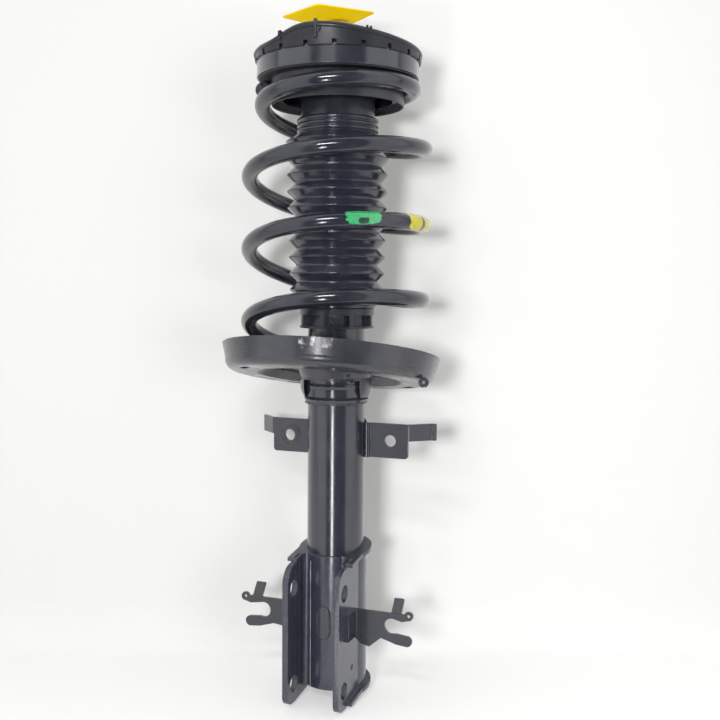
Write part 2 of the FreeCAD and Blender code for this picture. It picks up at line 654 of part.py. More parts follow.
def hose_clip(heel_z, stretch):
    """A clip on the +X side: a foot on the ear, a plate with a slot, a hooked arm, a prong and a tab."""
    arm_reach = CLIP_ARM_REACH + stretch
    curl_reach = CLIP_CURL_REACH + stretch
    tab_reach = CLIP_TAB_REACH + stretch
    slot_centre = CLIP_SLOT_END + CLIP_SLOT_HALF
    slot_low = CLIP_SLOT_Z - CLIP_SLOT_HALF
    slot_high = CLIP_SLOT_Z + CLIP_SLOT_HALF
    root_low = CLIP_ROOT_BOTTOM_Z + CLIP_FOOT_TRIM
    plate = flat_plate([
        clip_point(FLANGE_HALF, CLIP_TOP_Z), clip_point(FLANGE_HALF, root_low),
        clip_point(FLANGE_HALF + CLIP_FOOT_TRIM, max(CLIP_ROOT_BOTTOM_Z, heel_z)),
        clip_point(CLIP_HEEL_REACH, heel_z), clip_point(CLIP_WAIST_REACH, CLIP_WAIST_Z + 1.2),
        clip_point(CLIP_PRONG_ROOT_REACH, CLIP_PRONG_ROOT_Z - CLIP_PRONG_R),
        clip_point(CLIP_PRONG_TIP_REACH, CLIP_PRONG_TIP_Z - CLIP_PRONG_R),
        clip_point(CLIP_PRONG_TIP_REACH, CLIP_PRONG_TIP_Z + CLIP_PRONG_R),
        clip_point(CLIP_PRONG_ROOT_REACH, CLIP_PRONG_ROOT_Z + CLIP_PRONG_R),
        clip_point(slot_centre, slot_low), clip_point(slot_centre, slot_high),
        clip_point(arm_reach, CLIP_ARM_Z - CLIP_ARM_R), clip_point(curl_reach, CLIP_CURL_Z - CLIP_CURL_R),
        clip_point(curl_reach, CLIP_CURL_Z), clip_point(tab_reach + CLIP_TAB_WIDTH, CLIP_TOP_Z),
        clip_point(tab_reach, CLIP_TOP_Z)], CLIP_PLATE, Y_AXIS)
    slot = clip_round(slot_centre, CLIP_SLOT_Z, CLIP_SLOT_HALF)
    rounds = [
        clip_round(arm_reach, CLIP_ARM_Z, CLIP_ARM_R),
        clip_round(curl_reach, CLIP_CURL_Z, CLIP_CURL_R),
        clip_round(CLIP_PRONG_ROOT_REACH, CLIP_PRONG_ROOT_Z, CLIP_PRONG_R),
        clip_round(CLIP_PRONG_TIP_REACH, CLIP_PRONG_TIP_Z, CLIP_PRONG_R)]
    curl_hole = clip_round(curl_reach, CLIP_CURL_Z, CLIP_CURL_HOLE_R)
    plate = plate.cut(slot).fuse(rounds).cut(curl_hole)
    return plate.fuse([clip_tab(tab_reach), clip_foot()]).removeSplitter()


def clip_tab(reach):
    """The bent tab on top of the clip, leaning back."""
    root = clip_point(reach, CLIP_TOP_Z - CLIP_TAB_SINK)
    tab = Part.makeBox(CLIP_TAB_WIDTH, CLIP_PLATE, CLIP_TAB_LENGTH + CLIP_TAB_SINK, root)
    tab.rotate(root + Vector(0, CLIP_PLATE / 2.0, 0), X_AXIS, -CLIP_TAB_LEAN)
    return tab


def clip_foot():
    """The foot that is welded to the ear's outer face."""
    root_low = CLIP_ROOT_BOTTOM_Z + CLIP_FOOT_TRIM
    low = Vector(FLANGE_HALF, -CLIP_SETBACK - CLIP_FOOT_LENGTH, root_low)
    high = Vector(FLANGE_HALF + CLIP_PLATE, -CLIP_SETBACK + CLIP_PLATE / 2.0, CLIP_TOP_Z)
    return block(low, high)


# Stabiliser-link bracket

def link_bracket():
    """One strap round the tube's back, with a wing, a hole and a bent ear on each side."""
    wrap_r = TUBE_R + LINK_PLATE
    front_y = LINK_PLANE_BACK - LINK_PLATE / 2.0
    back_y = LINK_PLANE_BACK + LINK_PLATE / 2.0
    strap = ring(TUBE_R, wrap_r, LINK_BOTTOM_Z, LINK_TOP_Z)
    front_low = Vector(-LINK_WING_END, -LINK_WING_END, LINK_BOTTOM_Z - OVERCUT)
    front_half = block(front_low, Vector(LINK_WING_END, front_y, LINK_TOP_Z + OVERCUT))
    wing_low = Vector(-LINK_WING_END, front_y, LINK_BOTTOM_Z)
    wing_high = Vector(LINK_WING_END, back_y, LINK_TOP_Z)
    wings = block(wing_low, wing_high)
    corners = [edge for edge in wings.Edges if is_wing_corner(edge, LINK_BOTTOM_Z)]
    wings = wings.makeFillet(LINK_CORNER_R, corners)
    ears = [link_ear().fuse(link_hook()), mirrored(link_ear())]
    bracket = strap.cut(front_half).fuse([wings, strap_roots(front_y), link_boss()] + ears)
    bracket = bracket.cut(disc(TUBE_R, 0, THROUGH))
    return bracket.cut(link_holes()).removeSplitter()


def strap_roots(front_y):
    """The rounded bends where the strap leaves the tube and becomes a wing."""
    root_x = math.sqrt(TUBE_R ** 2 - LINK_PLANE_BACK ** 2) + LINK_PLATE
    high = LINK_TOP_Z - LINK_BOTTOM_Z
    pads = [Part.makeCylinder(LINK_PLATE, high, Vector(side * root_x, front_y, LINK_BOTTOM_Z))
            for side in (-1, 1)]
    return Part.makeCompound(pads)


def is_wing_corner(edge, height):
    """Whether an edge is a wing's outer bottom corner."""
    middle = edge.CenterOfMass
    at_end = abs(abs(middle.x) - LINK_WING_END) < 0.01
    return at_end and abs(middle.z - height) < 0.01 and edge.Length < LINK_PLATE + 0.1


def link_ear():
    """The right-hand ear, bent back from the upper half of the wing's end."""
    back_y = LINK_PLANE_BACK + LINK_PLATE / 2.0
    corner = Vector(LINK_WING_END - 1.0, back_y - LINK_PLATE, LINK_TOP_Z - LINK_EAR_HEIGHT)
    ear = Part.makeBox(LINK_EAR_LENGTH + 1.0, LINK_PLATE, LINK_EAR_HEIGHT, corner)
    ear.rotate(Vector(LINK_WING_END, back_y, 0), Z_AXIS, LINK_EAR_ANGLE)
    knee = Part.makeCylinder(LINK_PLATE, LINK_EAR_HEIGHT, Vector(LINK_WING_END, back_y, corner.z))
    forward_low = Vector(LINK_WING_END - 2 * LINK_PLATE, back_y - 2 * LINK_PLATE, 0)
    forward = block(forward_low, Vector(LINK_WING_END + 2 * LINK_PLATE, back_y, THROUGH))
    return ear.fuse(knee.common(forward))


def link_hook():
    """The quarter-round hook that turns the right-hand ear's end forward again."""
    back_y = LINK_PLANE_BACK + LINK_PLATE / 2.0
    low_z = LINK_TOP_Z - LINK_EAR_HEIGHT
    centre = Vector(LINK_WING_END + LINK_EAR_LENGTH, back_y - LINK_HOOK_R, low_z)
    round_bend = Part.makeCylinder(LINK_HOOK_R, LINK_EAR_HEIGHT, centre)
    round_bend = round_bend.cut(Part.makeCylinder(LINK_HOOK_R - LINK_PLATE, LINK_EAR_HEIGHT, centre))
    quarter = round_bend.common(block(centre, centre + Vector(LINK_HOOK_R, LINK_HOOK_R, LINK_EAR_HEIGHT)))
    quarter.rotate(Vector(LINK_WING_END, back_y, 0), Z_AXIS, LINK_EAR_ANGLE)
    return quarter


def link_boss():
    """The raised ring pressed round the left wing's hole."""
    front_y = LINK_PLANE_BACK - LINK_PLATE / 2.0
    centre = Vector(-LINK_HOLE_REACH, front_y - LINK_BOSS_RISE, LINK_HOLE_Z)
    return Part.makeCylinder(LINK_BOSS_R, LINK_BOSS_RISE, centre, Y_AXIS)


def link_holes():
    """The holes in the two wings."""
    holes = [Part.makeCylinder(LINK_HOLE_R, 4 * LINK_PLANE_BACK,
                               Vector(side * LINK_HOLE_REACH, -LINK_PLANE_BACK, LINK_HOLE_Z), Y_AXIS)
             for side in (-1, 1)]
    return Part.makeCompound(holes)


# Lower spring seat

def tilted_seat(shape):
    """Move a shape from the seat's own frame to its place: tipped up towards -Y and set over."""
    tipped = shape.copy()
    tipped.rotate(Vector(0, 0, 0), X_AXIS, -SEAT_TILT)
    tipped.translate(Vector(SEAT_OFFSET, 0, SEAT_RIM_Z))
    return tipped


def seat_pan():
    """The pressed pan in its own frame: a trough for the spring round a raised web."""
    sheet = SEAT_SHEET
    wall_r = SEAT_R - SEAT_WALL_TAPER
    corner = SEAT_CORNER_R
    floor = -SEAT_DEPTH
    bend_low = Vector(wall_r - corner * (1 - math.sqrt(0.5)), 0, floor + corner * (1 - math.sqrt(0.5)))
    wall_foot = Vector(wall_r, 0, floor + corner)
    floor_start = Vector(wall_r - corner, 0, floor)
    inner_corner = corner - sheet
    bend_high = Vector(wall_r - sheet - inner_corner * (1 - math.sqrt(0.5)), 0,
                       floor + sheet + inner_corner * (1 - math.sqrt(0.5)))
    web_low = -SEAT_WEB_DROP - sheet
    trough_start = Vector(SEAT_FLOOR_INNER_R + 1, 0, floor + sheet)
    web_end = Vector(SEAT_WEB_R + 1, 0, web_low + sheet)
    inner_foot = Vector(wall_r - sheet, 0, floor + corner)
    edges = [
        Part.LineSegment(Vector(SEAT_R, 0, 0), wall_foot),
        Part.Arc(wall_foot, bend_low, floor_start),
        Part.LineSegment(floor_start, Vector(SEAT_FLOOR_INNER_R, 0, floor)),
        Part.LineSegment(Vector(SEAT_FLOOR_INNER_R, 0, floor), Vector(SEAT_WEB_R, 0, web_low)),
        Part.LineSegment(Vector(SEAT_WEB_R, 0, web_low), Vector(TUBE_R - 6, 0, web_low)),
        Part.LineSegment(Vector(TUBE_R - 6, 0, web_low), Vector(TUBE_R - 6, 0, web_low + sheet)),
        Part.LineSegment(Vector(TUBE_R - 6, 0, web_low + sheet), web_end),
        Part.LineSegment(web_end, trough_start),
        Part.LineSegment(trough_start, Vector(wall_r - corner, 0, floor + sheet)),
        Part.Arc(Vector(wall_r - corner, 0, floor + sheet), bend_high, inner_foot),
        Part.LineSegment(inner_foot, Vector(SEAT_R - sheet, 0, 0)),
        Part.LineSegment(Vector(SEAT_R - sheet, 0, 0), Vector(SEAT_R, 0, 0))]
    face = Part.Face(Part.Wire([edge.toShape() for edge in edges]))
    return face.revolve(Vector(0, 0, 0), Z_AXIS, 360)


def ring_sector(inner_r, outer_r, low_z, high_z, middle_angle, half_angle):
    """A sector of a ring, for a window in the pan."""
    low_inner = polar(inner_r, middle_angle - half_angle, low_z)
    high_inner = polar(inner_r, middle_angle + half_angle, low_z)
    low_outer = polar(outer_r, middle_angle - half_angle, low_z)
    high_outer = polar(outer_r, middle_angle + half_angle, low_z)
    edges = [
        Part.LineSegment(low_inner, low_outer),
        Part.Arc(low_outer, polar(outer_r, middle_angle, low_z), high_outer),
        Part.LineSegment(high_outer, high_inner),
        Part.Arc(high_inner, polar(inner_r, middle_angle, low_z), low_inner)]
    face = Part.Face(Part.Wire([edge.toShape() for edge in edges]))
    return face.extrude(Vector(0, 0, high_z - low_z))


def seat_slot(angle):
    """A drain slot along the trough's floor."""
    low_z = -SEAT_DEPTH - SEAT_CUT_MARGIN
    half_angle = math.degrees(SEAT_SLOT_LENGTH / 2.0 / SEAT_SLOT_R)
    half_width = SEAT_SLOT_WIDTH / 2.0
    inner_r = SEAT_SLOT_R - half_width
    return ring_sector(inner_r, inner_r + SEAT_SLOT_WIDTH, low_z, low_z + SEAT_CUT_HEIGHT, angle, half_angle)


def lower_spring_seat():
    """The tilted pan, with a window on each side of the tube and slots in its trough."""
    web_low = -SEAT_WEB_DROP - SEAT_SHEET - SEAT_CUT_MARGIN
    web_high = web_low + SEAT_CUT_HEIGHT
    windows = [ring_sector(SEAT_WINDOW_INNER_R, SEAT_WINDOW_OUTER_R, web_low, web_high, angle,
                           SEAT_WINDOW_HALF_ANGLE) for angle in (0.0, 180.0)]
    spacing = 360.0 / SEAT_SLOTS
    slots = [seat_slot(spacing * (step + 0.5)) for step in range(SEAT_SLOTS)]
    pan = tilted_seat(seat_pan().cut(Part.makeCompound(windows + slots)))
    return pan.cut(disc(TUBE_R, 0, THROUGH))


def under_web(shape):
    """Trim a shape to what lies under the pan's web."""
    web_low = -SEAT_WEB_DROP - SEAT_SHEET
    above = tilted_seat(disc(SEAT_R, web_low, web_low + THROUGH))
    return shape.cut(above)


def seat_collar():
    """The sleeve on the tube, with two rolled beads."""
    wall_r = TUBE_R + COLLAR_WALL
    bead_r = wall_r + COLLAR_BEAD
    half = COLLAR_BEAD_HEIGHT / 2.0
    outline = [(TUBE_R, COLLAR_BOTTOM_Z)]
    for low in (COLLAR_BOTTOM_Z, COLLAR_BOTTOM_Z + COLLAR_BEAD_STEP):
        outline += [(wall_r, low), (bead_r, low + half), (wall_r, low + 2 * half)]
    sleeve = turned(outline + [(wall_r, COLLAR_TOP_Z), (TUBE_R, COLLAR_TOP_Z)])
    return under_web(sleeve)


def seat_support():
    """The pressed shell outside the sleeve, open in front, which spreads the seat's load."""
    collar_r = TUBE_R + COLLAR_WALL
    inner_r = SHELL_R - SHELL_WALL
    low = SHELL_BOTTOM_Z
    flare_r = SHELL_R + SHELL_FLARE
    foot_r = collar_r + COLLAR_BEAD + 0.1
    shell = turned([
        (foot_r, low), (SHELL_R - 1.0, low + SHELL_FOOT_ROUND / 2.0), (SHELL_R, low + SHELL_FOOT_ROUND),
        (SHELL_R, SHELL_STRAIGHT_TOP_Z), (flare_r, SHELL_FLARE_Z), (flare_r, SHELL_TOP_Z),
        (collar_r, SHELL_TOP_Z), (collar_r, SHELL_STRAIGHT_TOP_Z + 2),
        (inner_r, SHELL_STRAIGHT_TOP_Z - 3), (inner_r, low + SHELL_FOOT_ROUND)])
    window_low = Vector(-SHELL_WINDOW_HALF_WIDTH, -2 * SHELL_R, low - 5)
    window = block(window_low, Vector(SHELL_WINDOW_HALF_WIDTH, 0, SHELL_WINDOW_TOP_Z))
    window.rotate(Vector(0, 0, 0), Z_AXIS, SHELL_WINDOW_TURN)
    return under_web(shell.cut(window))


def lower_spring_pad():
    """The rubber strip in the trough under the spring's end coil."""
    floor = -SEAT_DEPTH + SEAT_SHEET
    inner_r = COIL_R - LOWER_PAD_WIDTH / 2.0
    strip = ring_sector(inner_r, inner_r + LOWER_PAD_WIDTH, floor, floor + LOWER_PAD, -90.0, 150.0)
    return tilted_seat(strip)


# Coil spring

def eased(step, half_width):
    """Zero before the bend, a straight line after it, and a smooth curve between."""
    if step <= -half_width:
        return 0.0
    if step >= half_width:
        return step
    return (step + half_width) ** 2 / (4.0 * half_width)


def coil_radius(angle):
    """The coil's radius at this angle: full below, drawn in to fit the upper seat."""
    share = (angle - NARROWING_START) / (NARROWING_END - NARROWING_START)
    share = min(1.0, max(0.0, share))
    return COIL_R + (TOP_COIL_R - COIL_R) * share * share * (3.0 - 2.0 * share)


def coil_point(angle):
    """A point on the wire's centre line."""
    low_z = SEAT_RIM_Z - SEAT_DEPTH + SEAT_SHEET + LOWER_PAD + WIRE_R + BUILD_GAP
    rise = COIL_PITCH / 360.0
    lift_off = 38.0
    landing = lift_off + (SPRING_TOP_Z - low_z) / rise
    height = low_z + rise * (eased(angle - lift_off, LOWER_BLEND) - eased(angle - landing, UPPER_BLEND))
    share = min(1.0, max(0.0, (angle - lift_off) / (landing - lift_off)))
    tip = COIL_R * math.tan(math.radians(SEAT_TILT)) * (1.0 - share * share)
    height -= tip * math.sin(math.radians(angle))
    return polar(coil_radius(angle), angle, height) + Vector(COIL_OFFSET * (1.0 - share), 0, 0)


def coil_direction(angle):
    """The direction of the wire at this angle."""
    step = 0.5
    along = coil_point(angle + step) - coil_point(angle - step)
    return along.normalize()


def arc_between(start, corner, end):
    """The arc that touches both legs of an even corner."""
    first = corner - start
    across = end - start
    weight = first.dot(across) / (first.Length * across.Length)
    middle = (start + end) * 0.5
    crown = (middle + corner * weight) * (1.0 / (1.0 + weight))
    return Part.Arc(start, crown, end)


def biarc(start, start_way, end, end_way):
    """Two arcs that join two points in the given directions, with no kink between them."""
    across = end - start
    ways = start_way + end_way
    spread = 2.0 * (1.0 - start_way.dot(end_way))
    along = across.dot(ways)
    leg = (math.sqrt(along * along + spread * across.dot(across)) - along) / spread
    first_corner = start + start_way * leg
    second_corner = end - end_way * leg
    joint = (first_corner + second_corner) * 0.5
    return [arc_between(start, first_corner, joint), arc_between(joint, second_corner, end)]


def coil_path():
    """The wire's centre line, as a biarc for each quarter turn."""
    count = int(math.ceil((SPRING_END - SPRING_START) / QUARTER_TURN))
    turn = (SPRING_END - SPRING_START) / count
    angles = [SPRING_START + turn * step for step in range(count + 1)]
    edges = []
    for low, high in zip(angles, angles[1:]):
        edges += biarc(coil_point(low), coil_direction(low), coil_point(high), coil_direction(high))
    return Part.Wire([edge.toShape() for edge in edges])


def coil_spring():
    """The spring: one unbroken wire swept along its path."""
    path = coil_path()
    start = coil_point(SPRING_START)
    section = Part.Wire([Part.makeCircle(WIRE_R, start, coil_direction(SPRING_START))])
    sweep = Part.BRepOffsetAPI.MakePipeShell(path)
    sweep.add(section)
    sweep.build()
    sweep.makeSolid()
    return sweep.shape()


def least_coil_gap():
    """The least gap between the spring's turns, measured on points a tenth of a turn apart."""
    step = 6.0
    count = int((SPRING_END - SPRING_START) / step) + 1
    points = [coil_point(SPRING_START + step * index) for index in range(count)]
    half_turn = int(180.0 / step)
    distances = [(points[low] - points[high]).Length
                 for low in range(count) for high in range(low + half_turn, count)]
    return min(distances) - 2 * WIRE_R


# Dust boot and bump stop

def boot_outline():
    """The boot's outer circles from its foot up, as (radius, height)."""
    circles = []
    folds_top = BOOT_TOP_Z - BOOT_TOP_RINGS * BOOT_RING_PITCH
    foot_z = CUP_TOP_Z + BUILD_GAP
    pitch = (folds_top - BOOT_FOLDS_LOW_Z) / BOOT_FOLDS
    circles.append((BOOT_VALLEY_BOTTOM_R, foot_z))
    for fold in range(BOOT_FOLDS):
        share = fold / (BOOT_FOLDS - 1.0)
        peak = BOOT_PEAK_BOTTOM_R + (BOOT_PEAK_TOP_R - BOOT_PEAK_BOTTOM_R) * share
        valley = BOOT_VALLEY_BOTTOM_R + (BOOT_VALLEY_TOP_R - BOOT_VALLEY_BOTTOM_R) * share
        low = BOOT_FOLDS_LOW_Z + pitch * fold
        circles += [(valley, low), (peak, low + pitch / 2.0 - BOOT_TIP / 2.0),
                    (peak, low + pitch / 2.0 + BOOT_TIP / 2.0), (valley, low + pitch - BOOT_TIP / 2.0)]
    for fold in range(BOOT_TOP_RINGS):
        low = folds_top + BOOT_RING_PITCH * fold
        valley = BUMP_CUP_R + BOOT_WALL
        circles += [(valley, low), (BOOT_RING_R, low + BOOT_RING_PITCH * 0.3),
                    (BOOT_RING_R, low + BOOT_RING_PITCH * 0.7), (valley, low + BOOT_RING_PITCH * 0.9)]
    return circles


def circle_wire(radius, height):
    """A circle about the strut axis, which starts on the X axis."""
    return Part.Wire([Part.makeCircle(radius, Vector(0, 0, height), Z_AXIS)])


def dust_boot():
    """The folded boot: ribs all the way up, with the bore open."""
    outside = Part.makeLoft([circle_wire(radius, height) for radius, height in boot_outline()], True, True)
    bore_low = BOOT_VALLEY_BOTTOM_R - BOOT_WALL
    bore_high = BUMP_CUP_R + 0.1
    bore = Part.makeLoft([circle_wire(bore_low, CUP_TOP_Z - 1), circle_wire(bore_high, BUMP_CUP_BOTTOM_Z - 3),
                          circle_wire(bore_high, BOOT_TOP_Z + 1)], True, True)
    return outside.cut(bore)


BUMP_BOTTOM_Z = CUP_TOP_Z + STROKE + BUILD_GAP


def bump_stop():
    """The foam bump stop, with two waists, round the rod."""
    low = BUMP_BOTTOM_Z
    high = UPPER_SEAT_Z
    third = (high - low) / 3.0
    waist = 3.0
    return turned([
        (BUMP_BORE_R, low), (BUMP_WAIST_R - 2, low), (BUMP_R - 2, low + third * 0.5),
        (BUMP_WAIST_R, low + third - waist), (BUMP_WAIST_R, low + third + waist), (BUMP_R, low + third * 1.5),
        (BUMP_WAIST_R, low + third * 2 - waist), (BUMP_WAIST_R, low + third * 2 + waist),
        (BUMP_R, low + third * 2.5), (BUMP_R, high), (BUMP_BORE_R, high)])


def bump_stop_cup():
    """The cup under the upper seat: the boot grips it and the bump stop sits in it."""
    inner_r = BUMP_CUP_R - BUMP_CUP_WALL
    return turned([
        (inner_r, BUMP_CUP_BOTTOM_Z), (BUMP_CUP_R, BUMP_CUP_BOTTOM_Z),
        (BUMP_CUP_R, UPPER_SEAT_Z - BUMP_CUP_WALL), (BUMP_CUP_R + 6, UPPER_SEAT_Z - BUMP_CUP_WALL),
        (BUMP_CUP_R + 6, UPPER_SEAT_Z), (inner_r, UPPER_SEAT_Z)])


# Upper spring seat

def upper_spring_seat():
    """The upper pressing: a deep outer band, a flat for the coil and a centring wall inside it."""
    sheet = UPPER_SEAT_SHEET
    low = UPPER_SEAT_Z
    rod_hole_r = ROD_R + 2.0
    return turned([
        (rod_hole_r, low), (CENTRING_R - sheet, low), (CENTRING_R - sheet, low - CENTRING_DEPTH + sheet),
        (CENTRING_R - sheet - CENTRING_LIP, low - CENTRING_DEPTH + sheet),
        (CENTRING_R - sheet - CENTRING_LIP, low - CENTRING_DEPTH), (CENTRING_R - 1.5, low - CENTRING_DEPTH),
        (CENTRING_R, low - CENTRING_DEPTH + 1.5), (CENTRING_R, low), (UPPER_SEAT_R, low),
        (UPPER_SEAT_R, low + UPPER_SEAT_RISE), (UPPER_SEAT_R - sheet, low + UPPER_SEAT_RISE),
        (UPPER_SEAT_R - sheet, low + sheet), (rod_hole_r, low + sheet)])


def upper_spring_pad():
    """The rubber ring between the top coil and the upper seat."""
    low = SPRING_TOP_Z + WIRE_R + BUILD_GAP
    return ring(CENTRING_R, CENTRING_R + UPPER_PAD_WIDTH - 1.0, low, UPPER_SEAT_Z)


RACE_LOW_Z = UPPER_SEAT_Z + UPPER_SEAT_SHEET
RACE_INNER_R = BALL_CIRCLE_R - RACE_WIDTH / 2.0
RACE_OUTER_R = BALL_CIRCLE_R + RACE_WIDTH / 2.0
BALL_Z = RACE_LOW_Z + RACE_THICKNESS - GROOVE_DEPTH + BALL_R + BUILD_GAP / 2.0
UPPER_RACE_Z = BALL_Z + BALL_R - GROOVE_DEPTH + BUILD_GAP / 2.0


def race(low_z, high_z):
    """A bearing race with its groove for the balls."""
    groove = Part.makeTorus(BALL_CIRCLE_R, BALL_R + BUILD_GAP / 2.0, Vector(0, 0, BALL_Z), Z_AXIS)
    return ring(RACE_INNER_R, RACE_OUTER_R, low_z, high_z).cut(groove)


def bearing_lower_race():
    """The race that sits on the upper spring seat."""
    return race(RACE_LOW_Z, RACE_LOW_Z + RACE_THICKNESS)


def bearing_upper_race():
    """The race under the cap."""
    return race(UPPER_RACE_Z, UPPER_RACE_Z + RACE_THICKNESS)


def bearing_balls():
    """The balls, on their circle."""
    return Part.makeCompound([Part.makeSphere(BALL_R, polar(BALL_CIRCLE_R, 360.0 / BALL_COUNT * step, BALL_Z))
                              for step in range(BALL_COUNT)])


def bearing_cage():
    """The ring that spaces the balls."""
    low = BALL_Z - CAGE_THICKNESS / 2.0
    cage = ring(BALL_CIRCLE_R - CAGE_WIDTH / 2.0, BALL_CIRCLE_R + CAGE_WIDTH / 2.0, low, low + CAGE_THICKNESS)
    pockets = [Part.makeCylinder(BALL_R + BUILD_GAP, CAGE_THICKNESS + 2,
                                 polar(BALL_CIRCLE_R, 360.0 / BALL_COUNT * step, low - 1))
               for step in range(BALL_COUNT)]
    return cage.cut(Part.makeCompound(pockets))


# Top mount

CAP_ROOF_Z = UPPER_RACE_Z + RACE_THICKNESS


def tilted_peak(shape):
    """Tip a shape level with the peak's slanted top, about the rim's highest point."""
    high_point = polar(CAP_R, CAP_PEAK_DIRECTION, CAP_PEAK_Z)
    tipped = shape.copy()
    tipped.rotate(high_point, polar(1.0, CAP_PEAK_DIRECTION - 90.0), CAP_TILT)
    return tipped


def rim_height(radius, angle):
    """The height of the cap's top here: level, or the slanted peak where that is higher."""
    reach = radius * math.cos(math.radians(angle - CAP_PEAK_DIRECTION))
    slanted = CAP_PEAK_Z - (CAP_R - reach) * math.tan(math.radians(CAP_TILT))
    return max(CAP_TOP_Z, slanted)


def cap_blank():
    """The cap before its hollows: a level disc with a slanted peak, chamfered round the edge."""
    chamfer_z = CAP_TOP_Z - CAP_CHAMFER
    level = turned([
        (MOUNT_BORE_R, CAP_BOTTOM_Z), (CAP_R, CAP_BOTTOM_Z), (CAP_R, chamfer_z),
        (CAP_R - CAP_CHAMFER, CAP_TOP_Z), (MOUNT_BORE_R, CAP_TOP_Z)])
    column = ring(MOUNT_BORE_R, CAP_R, CAP_BOTTOM_Z, CAP_PEAK_Z)
    height = 60.0
    top_r = CAP_R - CAP_CHAMFER
    foot = polar(CAP_CHAMFER / 2.0, CAP_PEAK_DIRECTION, CAP_PEAK_Z - height)
    below = tilted_peak(Part.makeCone(top_r + height, top_r, height, foot, Z_AXIS))
    return level.fuse(column.common(below))


def bearing_cap():
    """The plastic cap: a notched skirt, a ribbed top with a slanted peak and the mount's bore."""
    hub_r = MOUNT_BORE_R + CAP_HUB_WIDTH
    hollow = ring(RACE_OUTER_R, CAP_R - CAP_SKIRT_WALL, CAP_BOTTOM_Z - 1, CAP_ROOF_Z)
    race_seat = ring(hub_r, RACE_OUTER_R + 1, CAP_BOTTOM_Z - 1, CAP_ROOF_Z)
    recess = ring(hub_r, CAP_R - CAP_RIM_WIDTH, CAP_ROOF_Z + CAP_ROOF, CAP_PEAK_Z + 1)
    ribs = []
    for step in range(CAP_RIBS):
        rib = block(Vector(hub_r - 1, -CAP_RIB_WIDTH / 2.0, CAP_BOTTOM_Z),
                    Vector(CAP_R - 1, CAP_RIB_WIDTH / 2.0, CAP_PEAK_Z + 2))
        rib.rotate(Vector(0, 0, 0), Z_AXIS, CAP_PEAK_DIRECTION + 360.0 / CAP_RIBS * step)
        ribs.append(rib)
    recess = recess.cut(Part.makeCompound(ribs))
    cap = cap_blank().cut(hollow).cut(race_seat).cut(recess)
    return cap.cut(skirt_notches()).fuse(rim_lugs()).removeSplitter()


def skirt_notches():
    """The small notches along the skirt's lower edge."""
    notches = []
    for step in range(CAP_NOTCHES):
        notch = block(Vector(CAP_R - CAP_SKIRT_WALL - 1, -NOTCH_WIDTH / 2.0, CAP_BOTTOM_Z - 1),
                      Vector(CAP_R + 1, NOTCH_WIDTH / 2.0, CAP_BOTTOM_Z + NOTCH_HEIGHT))
        notch.rotate(Vector(0, 0, 0), Z_AXIS, CAP_NOTCH_DIRECTION + 360.0 / CAP_NOTCHES * step)
        notches.append(notch)
    return Part.makeCompound(notches)


def rim_lugs():
    """The small lugs that stand on the cap's rim, in opposite pairs."""
    lugs = []
    inner_r = CAP_R - CAP_RIM_WIDTH + 0.5
    outer_r = CAP_R - CAP_CHAMFER - 0.3
    for angle in LUG_ANGLES:
        for side in (0.0, 180.0):
            direction = CAP_PEAK_DIRECTION + angle + side
            rim_z = rim_height(inner_r, direction)
            low = Vector(inner_r, -LUG_WIDTH / 2.0, rim_z - 2)
            lug = block(low, Vector(outer_r, LUG_WIDTH / 2.0, rim_z + LUG_RISE))
            lug.rotate(Vector(0, 0, 0), Z_AXIS, direction)
            lugs.append(lug)
    return lugs


def mount_core():
    """The steel sleeve that stands on the rod's shoulder, bonded in the rubber."""
    flange_top = CORE_BOTTOM_Z + CORE_FLANGE
    return turned([
        (STUD_R, CORE_BOTTOM_Z), (CORE_FLANGE_R, CORE_BOTTOM_Z), (CORE_FLANGE_R, flange_top),
        (CORE_R, flange_top), (CORE_R, CORE_TOP_Z), (STUD_R, CORE_TOP_Z)])


def mount_rubber():
    """The rubber between the core and the cap."""
    flange_top = CORE_BOTTOM_Z + CORE_FLANGE
    low = CAP_ROOF_Z - 1.5
    return turned([
        (CORE_R, flange_top), (CORE_FLANGE_R + 2, flange_top), (MOUNT_BORE_R, low),
        (MOUNT_BORE_R, RUBBER_TOP_Z - 4),
        (MOUNT_BORE_R - 4, RUBBER_TOP_Z), (CORE_R + 6, RUBBER_TOP_Z), (CORE_R, RUBBER_TOP_Z - 3)])


WASHER_TOP_Z = CORE_TOP_Z + WASHER_THICKNESS
NUT_TOP = WASHER_TOP_Z + NUT_HEIGHT


def rebound_washer():
    """The dished washer between the core and the nut."""
    flat_r = CORE_R + 2
    return turned([
        (STUD_R, CORE_TOP_Z), (flat_r, CORE_TOP_Z), (WASHER_R, CORE_TOP_Z - WASHER_DISH),
        (WASHER_R, CORE_TOP_Z - WASHER_DISH + WASHER_THICKNESS), (flat_r, WASHER_TOP_Z),
        (STUD_R, WASHER_TOP_Z)])


def rod_nut():
    """The nut that clamps the top mount on the rod."""
    return hex_nut(NUT_FLATS, STUD_R, WASHER_TOP_Z, NUT_TOP)


def handling_tag():
    """The plain card pushed over the stud, lying on the nut."""
    centre = Vector(TAG_OFFSET_X, TAG_OFFSET_Y, NUT_TOP)
    corner = Vector(-TAG_LENGTH / 2.0, -TAG_WIDTH / 2.0, 0)
    card = Part.makeBox(TAG_LENGTH, TAG_WIDTH, TAG_THICKNESS, corner)
    card.rotate(Vector(0, 0, 0), Z_AXIS, TAG_ANGLE)
    card.translate(centre)
    return card.cut(disc(TAG_HOLE_R, NUT_TOP - 1, NUT_TOP + 5))


